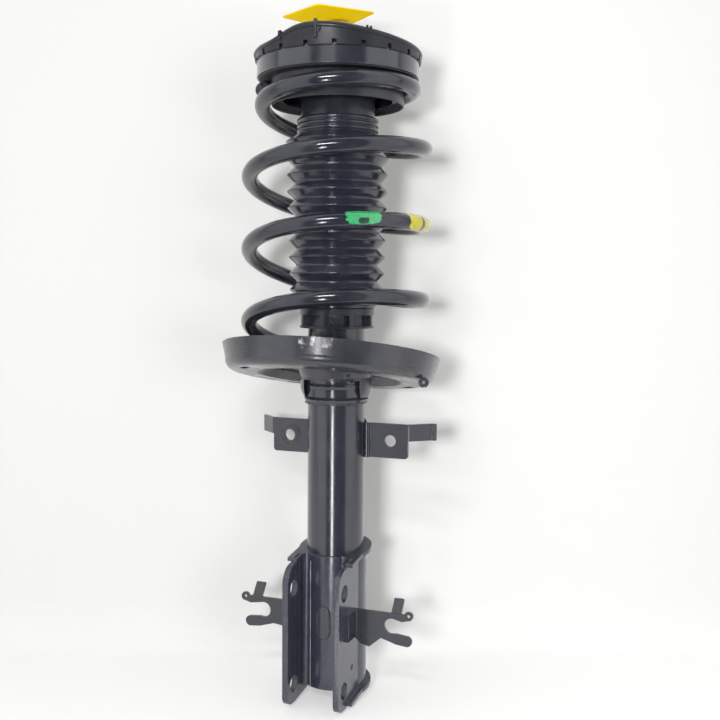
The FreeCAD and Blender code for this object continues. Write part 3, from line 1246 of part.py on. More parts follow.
def main():
    """Make every piece and write it."""
    os.makedirs("parts", exist_ok=True)
    pieces = {
        "outer_tube": outer_tube(),
        "tube_base_cap": tube_base_cap(),
        "base_valve": base_valve(),
        "pressure_tube": pressure_tube(),
        "rod_guide": rod_guide(),
        "guide_bush": guide_bush(),
        "oil_seal": oil_seal(),
        "boot_cup": boot_cup(),
        "knuckle_bracket_outer": knuckle_bracket_outer(),
        "knuckle_bracket_inner": knuckle_bracket_inner(),
        "hose_clip_right": hose_clip(CLIP_HEEL_Z, 0.0),
        "hose_clip_left": mirrored(hose_clip(CLIP_WAIST_Z, CLIP_LEFT_STRETCH)),
        "link_bracket": link_bracket(),
        "lower_spring_seat": lower_spring_seat(),
        "seat_collar": seat_collar(),
        "seat_support": seat_support(),
        "lower_spring_pad": lower_spring_pad(),
        "coil_spring": coil_spring(),
        "dust_boot": dust_boot(),
        "bump_stop": bump_stop(),
        "bump_stop_cup": bump_stop_cup(),
        "upper_spring_seat": upper_spring_seat(),
        "upper_spring_pad": upper_spring_pad(),
        "bearing_lower_race": bearing_lower_race(),
        "bearing_cage": bearing_cage(),
        "bearing_balls": bearing_balls(),
        "bearing_upper_race": bearing_upper_race(),
        "bearing_cap": bearing_cap(),
        "mount_rubber": mount_rubber(),
        "mount_core": mount_core(),
        "rebound_washer": rebound_washer(),
        "rod_nut": rod_nut(),
        "handling_tag": handling_tag(),
        "piston_rod": piston_rod(),
        "piston": piston(),
        "piston_band": piston_band(),
        "valve_shims": valve_shims(),
        "piston_nut": piston_nut(),
        "rebound_stop": rebound_stop(),
    }
    for name, shape in pieces.items():
        save(name, shape)
        solids = shape.Solids
        print(name, "solids", len(solids), "valid", shape.isValid(), "volume", round(shape.Volume))
    print("least gap between the spring's turns", round(least_coil_gap(), 2))


main()
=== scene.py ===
import json
import logging
import math
from collections.abc import Callable, Sequence
from dataclasses import dataclass, field, replace
from enum import Enum

import bmesh
import bpy
from mathutils import Matrix, Vector, noise

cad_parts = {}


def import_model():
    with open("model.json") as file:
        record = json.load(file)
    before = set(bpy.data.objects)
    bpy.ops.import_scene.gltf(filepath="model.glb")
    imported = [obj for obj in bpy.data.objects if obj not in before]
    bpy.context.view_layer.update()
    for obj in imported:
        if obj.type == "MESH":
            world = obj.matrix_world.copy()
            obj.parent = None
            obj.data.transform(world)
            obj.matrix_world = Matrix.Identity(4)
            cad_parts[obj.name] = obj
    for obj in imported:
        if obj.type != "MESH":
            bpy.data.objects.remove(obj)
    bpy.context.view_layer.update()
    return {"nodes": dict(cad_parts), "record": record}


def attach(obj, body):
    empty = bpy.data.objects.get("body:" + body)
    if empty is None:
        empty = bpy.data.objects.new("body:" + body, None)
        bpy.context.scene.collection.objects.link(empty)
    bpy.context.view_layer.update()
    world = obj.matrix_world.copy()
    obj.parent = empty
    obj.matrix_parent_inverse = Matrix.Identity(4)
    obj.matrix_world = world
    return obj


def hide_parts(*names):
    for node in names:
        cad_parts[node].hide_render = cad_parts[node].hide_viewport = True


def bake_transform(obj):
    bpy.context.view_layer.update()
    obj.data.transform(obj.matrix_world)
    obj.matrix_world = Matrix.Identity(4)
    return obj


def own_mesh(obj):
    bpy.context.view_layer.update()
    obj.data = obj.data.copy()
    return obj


LOG = logging.getLogger("strut")
STRUT_AXIS = Vector((0.0, 0.044, 0.0))
UP = Vector((0.0, 0.0, 1.0))
FULL_TURN = 2.0 * math.pi

Piece = bpy.types.Object
Socket = bpy.types.NodeSocket
Sockets = bpy.types.bpy_prop_collection
Outline = Sequence[tuple[float, float]]
Faces = list[tuple[int, ...]]
Colour = tuple[float, float, float]
Spot = tuple[float, float, float]


class Body(Enum):
    """The moving bodies that pieces ride on."""

    DAMPER = "damper"
    UPPER_SEAT = "upper_seat"
    TOP_MOUNT = "top_mount"


class Peel(Enum):
    """How the surface of a finish is broken up."""

    PAINT = "paint_peel"
    MOULDED = "moulded_grain"


# Meshes

def new_object(name: str, data: bpy.types.ID) -> Piece:
    """Put an object with this data into the scene.

    Args:
        name: The object's name.
        data: Its mesh, lamp or lens.

    Returns:
        The new object.
    """
    made = bpy.data.objects.new(name, data)
    bpy.context.scene.collection.objects.link(made)
    return made


def mesh_object(name: str, vertices: list[Vector], faces: Faces) -> Piece:
    """Make a mesh object in the scene.

    Args:
        name: The piece's name.
        vertices: Corner places in the row frame, in metres.
        faces: Corner numbers of each face.

    Returns:
        The new object.
    """
    mesh = bpy.data.meshes.new(name)
    mesh.from_pydata([tuple(place) for place in vertices], [], faces)
    mesh.validate()
    return new_object(name, mesh)


def skin(rings: int, count: int, looped: bool = False, closed: bool = True, capped: bool = False) -> Faces:
    """Number the faces between neighbouring rings of corners.

    Args:
        rings: How many rings there are.
        count: Corners of each ring.
        looped: Whether the last ring joins the first.
        closed: Whether each ring's last corner joins its first.
        capped: Whether the two end rings are filled.

    Returns:
        Corner numbers of each face.
    """
    faces = []
    for step in range(rings if looped else rings - 1):
        here, there = step * count, (step + 1) % rings * count
        for corner in range(count if closed else count - 1):
            after = (corner + 1) % count
            faces.append((here + corner, there + corner, there + after, here + after))
    if capped:
        last = (rings - 1) * count
        faces += [tuple(range(count)), tuple(last + corner for corner in reversed(range(count)))]
    return faces


def smooth_by_angle(piece: Piece, degrees: float) -> None:
    """Shade a piece smooth, but keep edges sharper than an angle.

    Args:
        piece: The object to shade.
        degrees: Edges that bend by more than this stay sharp.
    """
    work = bmesh.new()
    work.from_mesh(piece.data)
    bmesh.ops.recalc_face_normals(work, faces=work.faces)
    for face in work.faces:
        face.smooth = True
    for edge in work.edges:
        edge.smooth = edge.calc_face_angle(0.0) < math.radians(degrees)
    work.to_mesh(piece.data)
    work.free()


def spread(start: float, end: float, steps: int) -> list[float]:
    """Numbers in equal steps from a start to an end, both of them included."""
    return [start + (end - start) * step / steps for step in range(steps + 1)]


def round_z(radius: float, angle: float, height: float) -> Vector:
    """A place at this radius, angle in radians and height about the Z axis."""
    return Vector((radius * math.cos(angle), radius * math.sin(angle), height))


def around_axis(radius: float, angle: float, height: float) -> Vector:
    """A place at this radius, angle in radians and height about the strut axis."""
    return STRUT_AXIS + round_z(radius, angle, height)


def lathe(name: str, outline: Outline, segments: int = 96) -> Piece:
    """Turn a closed outline about the strut axis.

    Args:
        name: The piece's name.
        outline: Corners as (radius, height) in metres, in order round the section.
        segments: Steps round the axis.

    Returns:
        The turned piece.
    """
    vertices = [around_axis(radius, angle, height)
                for angle in spread(0.0, FULL_TURN, segments)[:-1] for radius, height in outline]
    return mesh_object(name, vertices, skin(segments, len(outline), looped=True))


def arc(name: str, outline: Outline, span: tuple[float, float], steps: int,
        tip: Matrix = Matrix.Identity(3), centre: Vector = STRUT_AXIS) -> Piece:
    """Turn a closed outline part of the way round, and fill its two ends.

    Args:
        name: The piece's name.
        outline: Corners as (radius, height) in metres, in order round the section.
        span: The angles of its two ends, in degrees.
        steps: Steps between them.
        tip: How the turned piece is tilted.
        centre: The middle that it turns about.

    Returns:
        The turned piece.
    """
    vertices = [centre + tip @ round_z(radius, angle, height)
                for angle in map(math.radians, spread(*span, steps)) for radius, height in outline]
    return mesh_object(name, vertices, skin(steps + 1, len(outline), capped=True))


def eased_outline(corners: Outline, radius: float, steps: int = 4) -> Outline:
    """Round every corner of a closed outline.

    Args:
        corners: The outline's corners.
        radius: How far each round reaches back along its sides.
        steps: Points in each round.

    Returns:
        The rounded outline.
    """
    points = []
    for index in range(len(corners)):
        here = Vector(corners[index])
        back = Vector(corners[index - 1]) - here
        on = Vector(corners[(index + 1) % len(corners)]) - here
        reach = min(radius, 0.45 * back.length, 0.45 * on.length)
        start = here + back.normalized() * reach
        end = here + on.normalized() * reach
        for share in spread(0.0, 1.0, steps):
            points.append(tuple(start.lerp(here, share).lerp(here.lerp(end, share), share)))
    return points


def swept_tube(name: str, path: list[Vector], radii: float | list[float], sides: int = 20,
               up: Vector = UP) -> Piece:
    """Sweep a round section along a path and close its ends.

    Args:
        name: The piece's name.
        path: The centre line's points.
        radii: The radius, or the radius at each point.
        sides: Corners of the section.
        up: A direction the path never follows, which steadies the section.

    Returns:
        The tube, with a UV map of the length along it and the share round it.
    """
    if isinstance(radii, float):
        radii = [radii] * len(path)
    lengths = [0.0]
    for low, high in zip(path, path[1:]):
        lengths.append(lengths[-1] + (high - low).length)
    vertices = []
    for index, (place, radius) in enumerate(zip(path, radii)):
        ahead = (path[min(index + 1, len(path) - 1)] - path[max(index - 1, 0)]).normalized()
        side = ahead.cross(up).normalized()
        top = side.cross(ahead).normalized()
        for angle in spread(0.0, FULL_TURN, sides)[:-1]:
            vertices.append(place + (side * math.cos(angle) + top * math.sin(angle)) * radius)
    tube = mesh_object(name, vertices, skin(len(path), sides, capped=True))
    layer = tube.data.uv_layers.new(name="along")
    for polygon in tube.data.polygons:
        # The face that closes the round runs on to 1 and not back to 0.
        wraps = {vertex % sides for vertex in polygon.vertices} == {0, sides - 1}
        for loop, vertex in zip(polygon.loop_indices, polygon.vertices):
            ring, corner = divmod(vertex, sides)
            layer.data[loop].uv = (lengths[ring], 1.0 if wraps and corner == 0 else corner / sides)
    return tube


# Shader parts

class Nodes:
    """A thin wrapper that adds nodes to a tree and links them."""

    def __init__(self, tree: bpy.types.NodeTree) -> None:
        """Keep the tree that the nodes go into."""
        self.tree = tree

    def link(self, source: Socket, target: Socket) -> None:
        """Join an output to an input."""
        self.tree.links.new(source, target)

    def add(self, kind: str, inputs: dict[str | int, object] | None = None, **values: object) -> bpy.types.Node:
        """Add a node, set its own properties and feed its inputs.

        Args:
            kind: Blender's name for the node type.
            inputs: A plain value, an output or nothing for each input.
            values: Properties of the node.

        Returns:
            The node.
        """
        node = self.tree.nodes.new(kind)
        for key, value in values.items():
            setattr(node, key, value)
        for key, value in (inputs or {}).items():
            if isinstance(value, Socket):
                self.link(value, node.inputs[key])
            elif value is not None:
                node.inputs[key].default_value = value
        return node

    def math(self, operation: str, first: object, second: object = None) -> Socket:
        """Add a Math node and give its output."""
        return self.add("ShaderNodeMath", {0: first, 1: second}, operation=operation).outputs[0]

    def vector(self, operation: str, first: object, second: object = None) -> Socket:
        """Add a Vector Math node and give its output, a number for a product or a length."""
        node = self.add("ShaderNodeVectorMath", {0: first, 1: second}, operation=operation)
        return node.outputs["Value" if operation in ("DOT_PRODUCT", "LENGTH") else "Vector"]

    def parts(self, value: Socket) -> Sockets:
        """Split a vector into X, Y and Z."""
        return self.add("ShaderNodeSeparateXYZ", {0: value}).outputs

    def span(self, value: object, low: object, high: object, start: object = 0.0, end: object = 1.0) -> Socket:
        """Map a value smoothly from low and high to start and end, held at both."""
        given = {"Value": value, "From Min": low, "From Max": high, "To Min": start, "To Max": end}
        return self.add("ShaderNodeMapRange", given, interpolation_type="SMOOTHSTEP").outputs["Result"]

    def blend(self, share: object, first: object, second: object) -> Socket:
        """Mix two colours, with this share of the second."""
        given = {"Factor": share, "A": first, "B": second}
        return self.add("ShaderNodeMix", given, data_type="RGBA").outputs["Result"]

    def cloud(self, place: object, scale: object, detail: float = 3.0) -> Socket:
        """Add a Noise texture, its scale per metre, and give its value."""
        return self.add("ShaderNodeTexNoise", {"Vector": place, "Scale": scale, "Detail": detail}).outputs["Fac"]


FINE_PEEL_SCALE, FINE_PEEL_SHARE = 3.2, 0.35
FINE_GRAIN_SCALE = 0.4
BEND_SPAN = (0.985, 0.80)
CHIP_START, CHIP_END = 0.72, 0.78
LYING_SPAN = (0.2, 1.0, 0.25, 1.0)
DUST_SCALE, DUST_SPAN = 55.0, (0.42, 0.72)
SPECK_SCALE, SPECK_SPAN, SPECK_SHARE = 1500.0, (0.66, 0.74), 0.8
SMEAR_SCALE, SMEAR_SPAN = 38.0, (0.35, 0.65)
PATCH_POWER, PATCH_SPAN = 3.5, (1.06, 0.94)
RAGGED_SCALE, RAGGED_SHARE = 330.0, 1.3


def paint_peel(nodes: Nodes, given: Sockets) -> dict[str, Socket]:
    """The faint orange peel of sprayed paint.

    Args:
        nodes: The group's nodes.
        given: Its inputs.

    Returns:
        The height.
    """
    broad = nodes.cloud(given["Place"], given["Scale"], 1.0)
    fine = nodes.cloud(given["Place"], nodes.math("MULTIPLY", given["Scale"], FINE_PEEL_SCALE), 1.0)
    return {"Height": nodes.math("ADD", broad, nodes.math("MULTIPLY", fine, FINE_PEEL_SHARE))}


def moulded_grain(nodes: Nodes, given: Sockets) -> dict[str, Socket]:
    """The fine pebbled skin of moulded plastic or rubber.

    Args:
        nodes: The group's nodes.
        given: Its inputs.

    Returns:
        The height.
    """
    cells = nodes.add("ShaderNodeTexVoronoi", {"Vector": given["Place"], "Scale": given["Scale"]}, feature="SMOOTH_F1")
    fine = nodes.cloud(given["Place"], nodes.math("MULTIPLY", given["Scale"], FINE_GRAIN_SCALE), 2.0)
    return {"Height": nodes.math("ADD", cells.outputs["Distance"], fine)}


def soft_edge(nodes: Nodes, given: Sockets) -> dict[str, Socket]:
    """Rounded edges and the ragged wear on them.

    Args:
        nodes: The group's nodes.
        given: Its inputs.

    Returns:
        The rounded normal and the mask of the wear.
    """
    rounded = nodes.add("ShaderNodeBevel", {"Radius": given["Radius"]}, samples=4).outputs["Normal"]
    surface = nodes.add("ShaderNodeNewGeometry")
    edge = nodes.span(nodes.vector("DOT_PRODUCT", rounded, surface.outputs["True Normal"]), *BEND_SPAN)
    chips = nodes.cloud(given["Place"], given["Scale"], 4.0)
    ragged = nodes.span(chips, nodes.math("SUBTRACT", CHIP_START, given["Wear"]), CHIP_END)
    return {"Normal": rounded, "Mask": nodes.math("MULTIPLY", edge, ragged)}


def settled_dust(nodes: Nodes, given: Sockets) -> dict[str, Socket]:
    """Dust that lies on faces that look up, and a little everywhere.

    Args:
        nodes: The group's nodes.
        given: Its inputs.

    Returns:
        The mask of the dust.
    """
    rise = nodes.parts(nodes.add("ShaderNodeNewGeometry").outputs["Normal"])["Z"]
    lying = nodes.span(rise, *LYING_SPAN)
    patches = nodes.span(nodes.cloud(given["Place"], DUST_SCALE, 6.0), *DUST_SPAN)
    specks = nodes.span(nodes.cloud(given["Place"], SPECK_SCALE, 1.0), *SPECK_SPAN)
    both = nodes.math("MAXIMUM", patches, nodes.math("MULTIPLY", specks, SPECK_SHARE))
    return {"Mask": nodes.math("MULTIPLY", nodes.math("MULTIPLY", both, lying), given["Amount"])}


def handled_gloss(nodes: Nodes, given: Sockets) -> dict[str, Socket]:
    """Roughness that wanders a little, as on a part that was handled."""
    smears = nodes.cloud(given["Place"], SMEAR_SCALE, 5.0)
    return {"Roughness": nodes.span(smears, *SMEAR_SPAN, given["Low"], given["High"])}


def brushed_patch(nodes: Nodes, given: Sockets) -> dict[str, Socket]:
    """A brushed, roundish patch on a wire.

    Args:
        nodes: The group's nodes.
        given: Its inputs.

    Returns:
        The mask of the patch.
    """
    squares = []
    for value, middle, half in (("Along", "Centre", "Half"), ("Round", "Turn", "Reach")):
        away = nodes.math("DIVIDE", nodes.math("SUBTRACT", given[value], given[middle]), given[half])
        squares.append(nodes.math("POWER", nodes.math("ABSOLUTE", away), PATCH_POWER))
    wander = nodes.math("SUBTRACT", nodes.cloud(given["Place"], RAGGED_SCALE), 0.5)
    reach = nodes.math("ADD", nodes.math("ADD", *squares), nodes.math("MULTIPLY", wander, RAGGED_SHARE))
    return {"Mask": nodes.span(reach, *PATCH_SPAN)}


@dataclass(frozen=True)
class Effect:
    """A node group that several finishes share: its number inputs, its outputs and its builder."""

    numbers: dict[str, float]
    outputs: dict[str, str]
    build: Callable[[Nodes, Sockets], dict[str, Socket]]


class EffectLibrary:
    """The shared effects, each built once and read at the input Place."""

    effects: dict[str, Effect] = {
        "paint_peel": Effect({"Scale": 700.0}, {"Height": "Float"}, paint_peel),
        "moulded_grain": Effect({"Scale": 1400.0}, {"Height": "Float"}, moulded_grain),
        "soft_edge": Effect({"Radius": 0.0008, "Wear": 0.3, "Scale": 260.0},
                            {"Normal": "Vector", "Mask": "Float"}, soft_edge),
        "settled_dust": Effect({"Amount": 0.2}, {"Mask": "Float"}, settled_dust),
        "handled_gloss": Effect({"Low": 0.25, "High": 0.4}, {"Roughness": "Float"}, handled_gloss),
        "brushed_patch": Effect(dict.fromkeys(("Along", "Round", "Centre", "Half", "Turn", "Reach"), 0.1),
                                {"Mask": "Float"}, brushed_patch)}

    def __init__(self) -> None:
        """Start with no group built."""
        self.groups: dict[str, bpy.types.NodeTree] = {}

    def group(self, name: str) -> bpy.types.NodeTree:
        """Give an effect's node group, and build it the first time.

        Args:
            name: The effect's name.

        Returns:
            The group.
        """
        if name not in self.groups:
            effect = self.effects[name]
            tree = bpy.data.node_groups.new(name, "ShaderNodeTree")
            tree.interface.new_socket(name="Place", in_out="INPUT", socket_type="NodeSocketVector")
            for title, value in effect.numbers.items():
                socket = tree.interface.new_socket(name=title, in_out="INPUT", socket_type="NodeSocketFloat")
                socket.default_value = value
            for title, kind in effect.outputs.items():
                tree.interface.new_socket(name=title, in_out="OUTPUT", socket_type="NodeSocket" + kind)
            nodes = Nodes(tree)
            nodes.add("NodeGroupOutput", effect.build(nodes, nodes.add("NodeGroupInput").outputs))
            self.groups[name] = tree
        return self.groups[name]

    def place(self, nodes: Nodes, name: str, **given: object) -> Sockets:
        """Place a shared effect in a material, and give its outputs."""
        return nodes.add("ShaderNodeGroup", given, node_tree=self.group(name)).outputs


EFFECTS = EffectLibrary()


# Finishes

@dataclass(frozen=True)
class Finish:
    """A surface: its colours, its gloss and the effects on it."""

    name: str
    colour: Colour
    gloss: tuple[float, float] = (0.28, 0.40)
    metallic: float = 0.0
    peel: Peel = Peel.PAINT
    peel_scale: float = 700.0
    peel_depth: float = 0.00002
    edge_radius: float = 0.0007
    wear: float = 0.25
    wear_colour: Colour = (0.16, 0.16, 0.165)
    dust: float = 0.10
    dust_colour: Colour = (0.32, 0.31, 0.29)
    dust_roughness: float = 0.35
    coat: float = 0.0
    coat_roughness: float = 0.12
    mottle: float = 0.08
    mottle_scale: float = 90.0
    mottle_span: tuple[float, float] = (0.35, 0.65)
    ior: float = 1.62

    def material(self) -> bpy.types.Material:
        """Build the finish as a Blender material.

        Returns:
            The material.
        """
        made = bpy.data.materials.new(self.name)
        made.use_nodes = True
        made.diffuse_color = (*self.colour, 1.0)
        made.node_tree.nodes.clear()
        nodes = Nodes(made.node_tree)
        place = nodes.add("ShaderNodeTexCoord").outputs["Object"]
        edge = EFFECTS.place(nodes, "soft_edge", Place=place, Radius=self.edge_radius, Wear=self.wear)
        dust = EFFECTS.place(nodes, "settled_dust", Place=place, Amount=self.dust)["Mask"]
        gloss = EFFECTS.place(nodes, "handled_gloss", Place=place, Low=self.gloss[0], High=self.gloss[1])
        height = EFFECTS.place(nodes, self.peel.value, Place=place, Scale=self.peel_scale)["Height"]
        colour = nodes.blend(edge["Mask"], self.base_colour(nodes, place), (*self.wear_colour, 1.0))
        bump = nodes.add("ShaderNodeBump", {"Distance": self.peel_depth, "Strength": 1.0, "Height": height,
                                            "Normal": edge["Normal"]})
        surface = nodes.add("ShaderNodeBsdfPrincipled", {
            "Base Color": nodes.blend(dust, colour, (*self.dust_colour, 1.0)),
            "Roughness": nodes.math("ADD", gloss["Roughness"], nodes.math("MULTIPLY", dust, self.dust_roughness)),
            "Normal": bump.outputs["Normal"], "Metallic": self.metallic, "IOR": self.ior,
            "Coat Weight": self.coat, "Coat Roughness": self.coat_roughness})
        nodes.add("ShaderNodeOutputMaterial", {"Surface": self.passed(nodes, surface.outputs["BSDF"])})
        return made

    def base_colour(self, nodes: Nodes, place: Socket) -> Socket:
        """The colour under the wear and the dust, a little mottled.

        Args:
            nodes: The material's nodes.
            place: The object's own coordinates.

        Returns:
            The colour output.
        """
        light = (*(min(1.0, part * (1.0 + self.mottle)) for part in self.colour), 1.0)
        dark = (*(part * (1.0 - self.mottle) for part in self.colour), 1.0)
        return nodes.blend(nodes.span(nodes.cloud(place, self.mottle_scale, 5.0), *self.mottle_span), dark, light)

    def passed(self, nodes: Nodes, surface: Socket) -> Socket:
        """The shader that reaches the output: the plain surface."""
        return surface


@dataclass(frozen=True)
class Dab:
    """One brushed dab of marking paint on the wire, and the gap left in it."""

    colour: Colour
    angle: float
    half_angle: float
    round_centre: float
    half_round: float
    gap_angle: float
    gap_half_angle: float
    gap_round: float
    gap_half_round: float


@dataclass(frozen=True)
class MarkedSpringFinish(Finish):
    """The spring's coat, with dabs of marking paint, their places given as lengths along the wire."""

    dabs: tuple[Dab, ...] = ()
    along: tuple[tuple[float, float, float, float], ...] = ()
    gap_depth: float = 0.9
    dab_shade: float = 0.72
    dab_scale: float = 420.0
    dab_span: tuple[float, float] = (0.3, 0.7)

    def base_colour(self, nodes: Nodes, place: Socket) -> Socket:
        """The coat's colour with the dabs on it.

        Args:
            nodes: The material's nodes.
            place: The object's own coordinates.

        Returns:
            The colour output.
        """
        colour = super().base_colour(nodes, place)
        wire = nodes.parts(nodes.add("ShaderNodeUVMap", uv_map="along").outputs["UV"])
        turned = nodes.math("SUBTRACT", nodes.math("FRACT", nodes.math("ADD", wire["Y"], 0.5)), 0.5)
        spot = {"Place": place, "Along": wire["X"], "Round": turned}
        for dab, (centre, half, gap, gap_half) in zip(self.dabs, self.along):
            patch = EFFECTS.place(nodes, "brushed_patch", **spot, Centre=centre, Half=half,
                                  Turn=dab.round_centre, Reach=dab.half_round)["Mask"]
            hole = EFFECTS.place(nodes, "brushed_patch", **spot, Centre=gap, Half=gap_half,
                                 Turn=dab.gap_round, Reach=dab.gap_half_round)["Mask"]
            left = nodes.math("SUBTRACT", 1.0, nodes.math("MULTIPLY", hole, self.gap_depth))
            streaks = nodes.span(nodes.cloud(place, self.dab_scale, 4.0), *self.dab_span)
            shade = nodes.blend(streaks, (*dab.colour, 1.0),
                                (*(part * self.dab_shade for part in dab.colour), 1.0))
            colour = nodes.blend(nodes.math("MULTIPLY", patch, left), colour, shade)
        return colour


@dataclass(frozen=True)
class WornRimFinish(Finish):
    """Paint that is rubbed off on one stretch of an edge."""

    rub_centre: Colour = (0.0, 0.0, 0.0)
    rub_reach: Colour = (0.02, 0.02, 0.01)
    rub_colour: Colour = (0.27, 0.27, 0.28)
    rub_scale: float = 150.0
    rub_core: float = 0.35
    rub_limit: float = 0.70
    rub_gain: float = 0.27
    rub_softness: float = 0.22

    def base_colour(self, nodes: Nodes, place: Socket) -> Socket:
        """The paint's colour with the rubbed stretch.

        Args:
            nodes: The material's nodes.
            place: The object's own coordinates.

        Returns:
            The colour output.
        """
        shares = nodes.vector("DIVIDE", nodes.vector("SUBTRACT", place, self.rub_centre), self.rub_reach)
        near = nodes.span(nodes.vector("LENGTH", shares), 1.0, self.rub_core)
        limit = nodes.math("SUBTRACT", self.rub_limit, nodes.math("MULTIPLY", near, self.rub_gain))
        shown = nodes.span(nodes.cloud(place, self.rub_scale, 6.0), limit,
                           nodes.math("ADD", limit, self.rub_softness))
        return nodes.blend(nodes.math("MULTIPLY", shown, near), super().base_colour(nodes, place),
                           (*self.rub_colour, 1.0))


@dataclass(frozen=True)
class ThinCardFinish(Finish):
    """A thin card that lets through part of the light that falls on its other side."""

    passing: float = 0.72

    def passed(self, nodes: Nodes, surface: Socket) -> Socket:
        """The shader that reaches the output: the surface and a share of the light behind it."""
        through = nodes.add("ShaderNodeBsdfTranslucent", {"Color": (*self.colour, 1.0)})
        return nodes.add("ShaderNodeMixShader", {0: self.passing, 1: surface, 2: through.outputs[0]}).outputs[0]


BLACK = (0.0122, 0.0132, 0.0200)
SATIN_BLACK = (0.0135, 0.0145, 0.0210)
STEEL = (0.36, 0.36, 0.37)
FINISHES: dict[str, Finish] = {finish.name: finish for finish in (
    Finish("tube_paint", BLACK, (0.15, 0.22), coat=0.3, dust=0.05),
    Finish("bracket_paint", SATIN_BLACK, (0.16, 0.27), coat=0.2, wear=0.38, dust=0.03),
    WornRimFinish("seat_paint", (0.016, 0.017, 0.022), (0.20, 0.32), coat=0.2, wear=0.30, dust=0.06,
                  rub_centre=(0.0190, -0.0500, 0.3060), rub_reach=(0.030, 0.030, 0.0115), rub_colour=STEEL),
    WornRimFinish("plate_paint", (0.0190, 0.0210, 0.0330), (0.16, 0.27), coat=0.2, wear=0.38, dust=0.03,
                  rub_centre=(0.0255, -0.0130, 0.0430), rub_reach=(0.0050, 0.0030, 0.0800),
                  rub_colour=(0.15, 0.15, 0.155), rub_scale=2400.0),
    # Painted highlight: a light grey that stands in for the thin highlight along the bulge's crease.
    Finish("crease_painted_highlight", (0.20, 0.20, 0.21), (0.30, 0.45), wear=0.0, dust=0.02, mottle=0.35),
    Finish("band_paint", BLACK, (0.12, 0.18), coat=0.5, dust=0.05),
    Finish("pad_rubber", (0.011, 0.012, 0.016), (0.32, 0.46), peel=Peel.MOULDED, wear=0.0),
    Finish("seal_rubber", (0.030, 0.020, 0.018), (0.45, 0.60), peel=Peel.MOULDED, wear=0.0),
    Finish("boot_rubber", (0.0130, 0.0145, 0.0225), (0.15, 0.24), peel=Peel.MOULDED, peel_scale=900.0,
           peel_depth=0.000006, wear=0.0, dust=0.05),
    Finish("foam", (0.52, 0.42, 0.20), (0.75, 0.90), peel=Peel.MOULDED, peel_scale=520.0, peel_depth=0.0002,
           wear=0.0),
    Finish("cap_plastic", (0.0085, 0.0090, 0.0125), (0.26, 0.38), ior=1.43, peel=Peel.MOULDED, wear=0.10,
           dust=0.03),
    Finish("cup_plastic", (0.011, 0.012, 0.018), (0.20, 0.32), ior=1.5, peel=Peel.MOULDED, wear=0.10),
    Finish("cage_plastic", (0.70, 0.67, 0.58), (0.40, 0.55), peel=Peel.MOULDED, wear=0.0),
    Finish("rod_chrome", (0.66, 0.67, 0.69), (0.06, 0.12), metallic=1.0, peel_depth=0.000004, wear=0.0),
    Finish("bare_steel", STEEL, (0.28, 0.42), metallic=1.0, wear=0.0),
    Finish("plated_steel", (0.50, 0.50, 0.48), (0.26, 0.40), metallic=1.0, wear=0.05),
    Finish("sintered", (0.16, 0.16, 0.165), (0.50, 0.65), metallic=1.0, peel_scale=2400.0, peel_depth=0.00005,
           wear=0.0),
    Finish("bronze", (0.42, 0.27, 0.13), (0.30, 0.45), metallic=1.0, wear=0.0),
    Finish("band_plastic", (0.22, 0.11, 0.05), (0.45, 0.60), peel=Peel.MOULDED, wear=0.0),
    ThinCardFinish("card", (0.92, 0.76, 0.010), (0.55, 0.68), peel=Peel.MOULDED, peel_scale=2600.0,
                   peel_depth=0.00001, edge_radius=0.0001, wear=0.0, dust=0.03, mottle=0.04),
    # Painted shade: near-black, for the discs that stand in for the dark openings of small holes.
    Finish("hole_painted_shade", (0.002, 0.002, 0.0025), (0.50, 0.70), wear=0.0, dust=0.02),
    Finish("weld_metal", (0.013, 0.014, 0.019), (0.22, 0.38), wear=0.30, peel_scale=1200.0, peel_depth=0.00008))}
NODE_FINISHES = {"knuckle_bracket_inner": "plate_paint", "knuckle_bracket_outer": "plate_paint"}


class Wardrobe:
    """Hands out each finish's material, built once."""

    def __init__(self) -> None:
        """Start with no material built."""
        self.made: dict[str, bpy.types.Material] = {}

    def material(self, finish: Finish) -> bpy.types.Material:
        """Give the finish's material, and build it the first time.

        Args:
            finish: The finish that is wanted.

        Returns:
            Its material.
        """
        if finish.name not in self.made:
            self.made[finish.name] = finish.material()
        return self.made[finish.name]

    def dress_node(self, node: Piece, finish: Finish) -> None:
        """Give a carried-over solid one finish, in the slots it already has.

        Args:
            node: The solid's object.
            finish: Its finish.
        """
        if not node.material_slots:
            node.data.materials.append(self.material(finish))
        for place in node.material_slots:
            place.material = self.material(finish)

    def dress(self, piece: Piece, finish: Finish, bend: float, slot: str | None = None) -> None:
        """Shade a piece and give it one finish all over.

        Args:
            piece: The object to dress.
            finish: Its finish.
            bend: Edges that bend by more than this, in degrees, stay sharp.
            slot: Not used.
        """
        smooth_by_angle(piece, bend)
        piece.data.materials.clear()
        piece.data.materials.append(self.material(finish))


# Sub-assemblies

def held(share: float) -> float:
    """A share, held between 0 and 1."""
    return min(1.0, max(0.0, share))


def wrapped(turn: float) -> float:
    """An angle in degrees, brought between -180 and 180."""
    return (turn + 180.0) % 360.0 - 180.0


@dataclass
class SubAssembly:
    """Some pieces of the strut that are dressed from one wardrobe."""

    wardrobe: Wardrobe

    def settle(self, piece: Piece, finish: str, bend: float, body: Body, slot: str | None = None,
               solid: str | None = None) -> Piece:
        """Dress a piece, let it take its solid's place and put it on its body.

        Args:
            piece: The piece.
            finish: The name of its finish.
            bend: Edges that bend by more than this, in degrees, stay sharp.
            body: The body it rides on.
            slot: The record's slot, where it isn't the finish's own name.
            solid: The solid it replaces, where there is one.

        Returns:
            The piece.
        """
        self.wardrobe.dress(piece, FINISHES[finish], bend, slot)
        if solid:
            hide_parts(solid)
        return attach(piece, body.value)


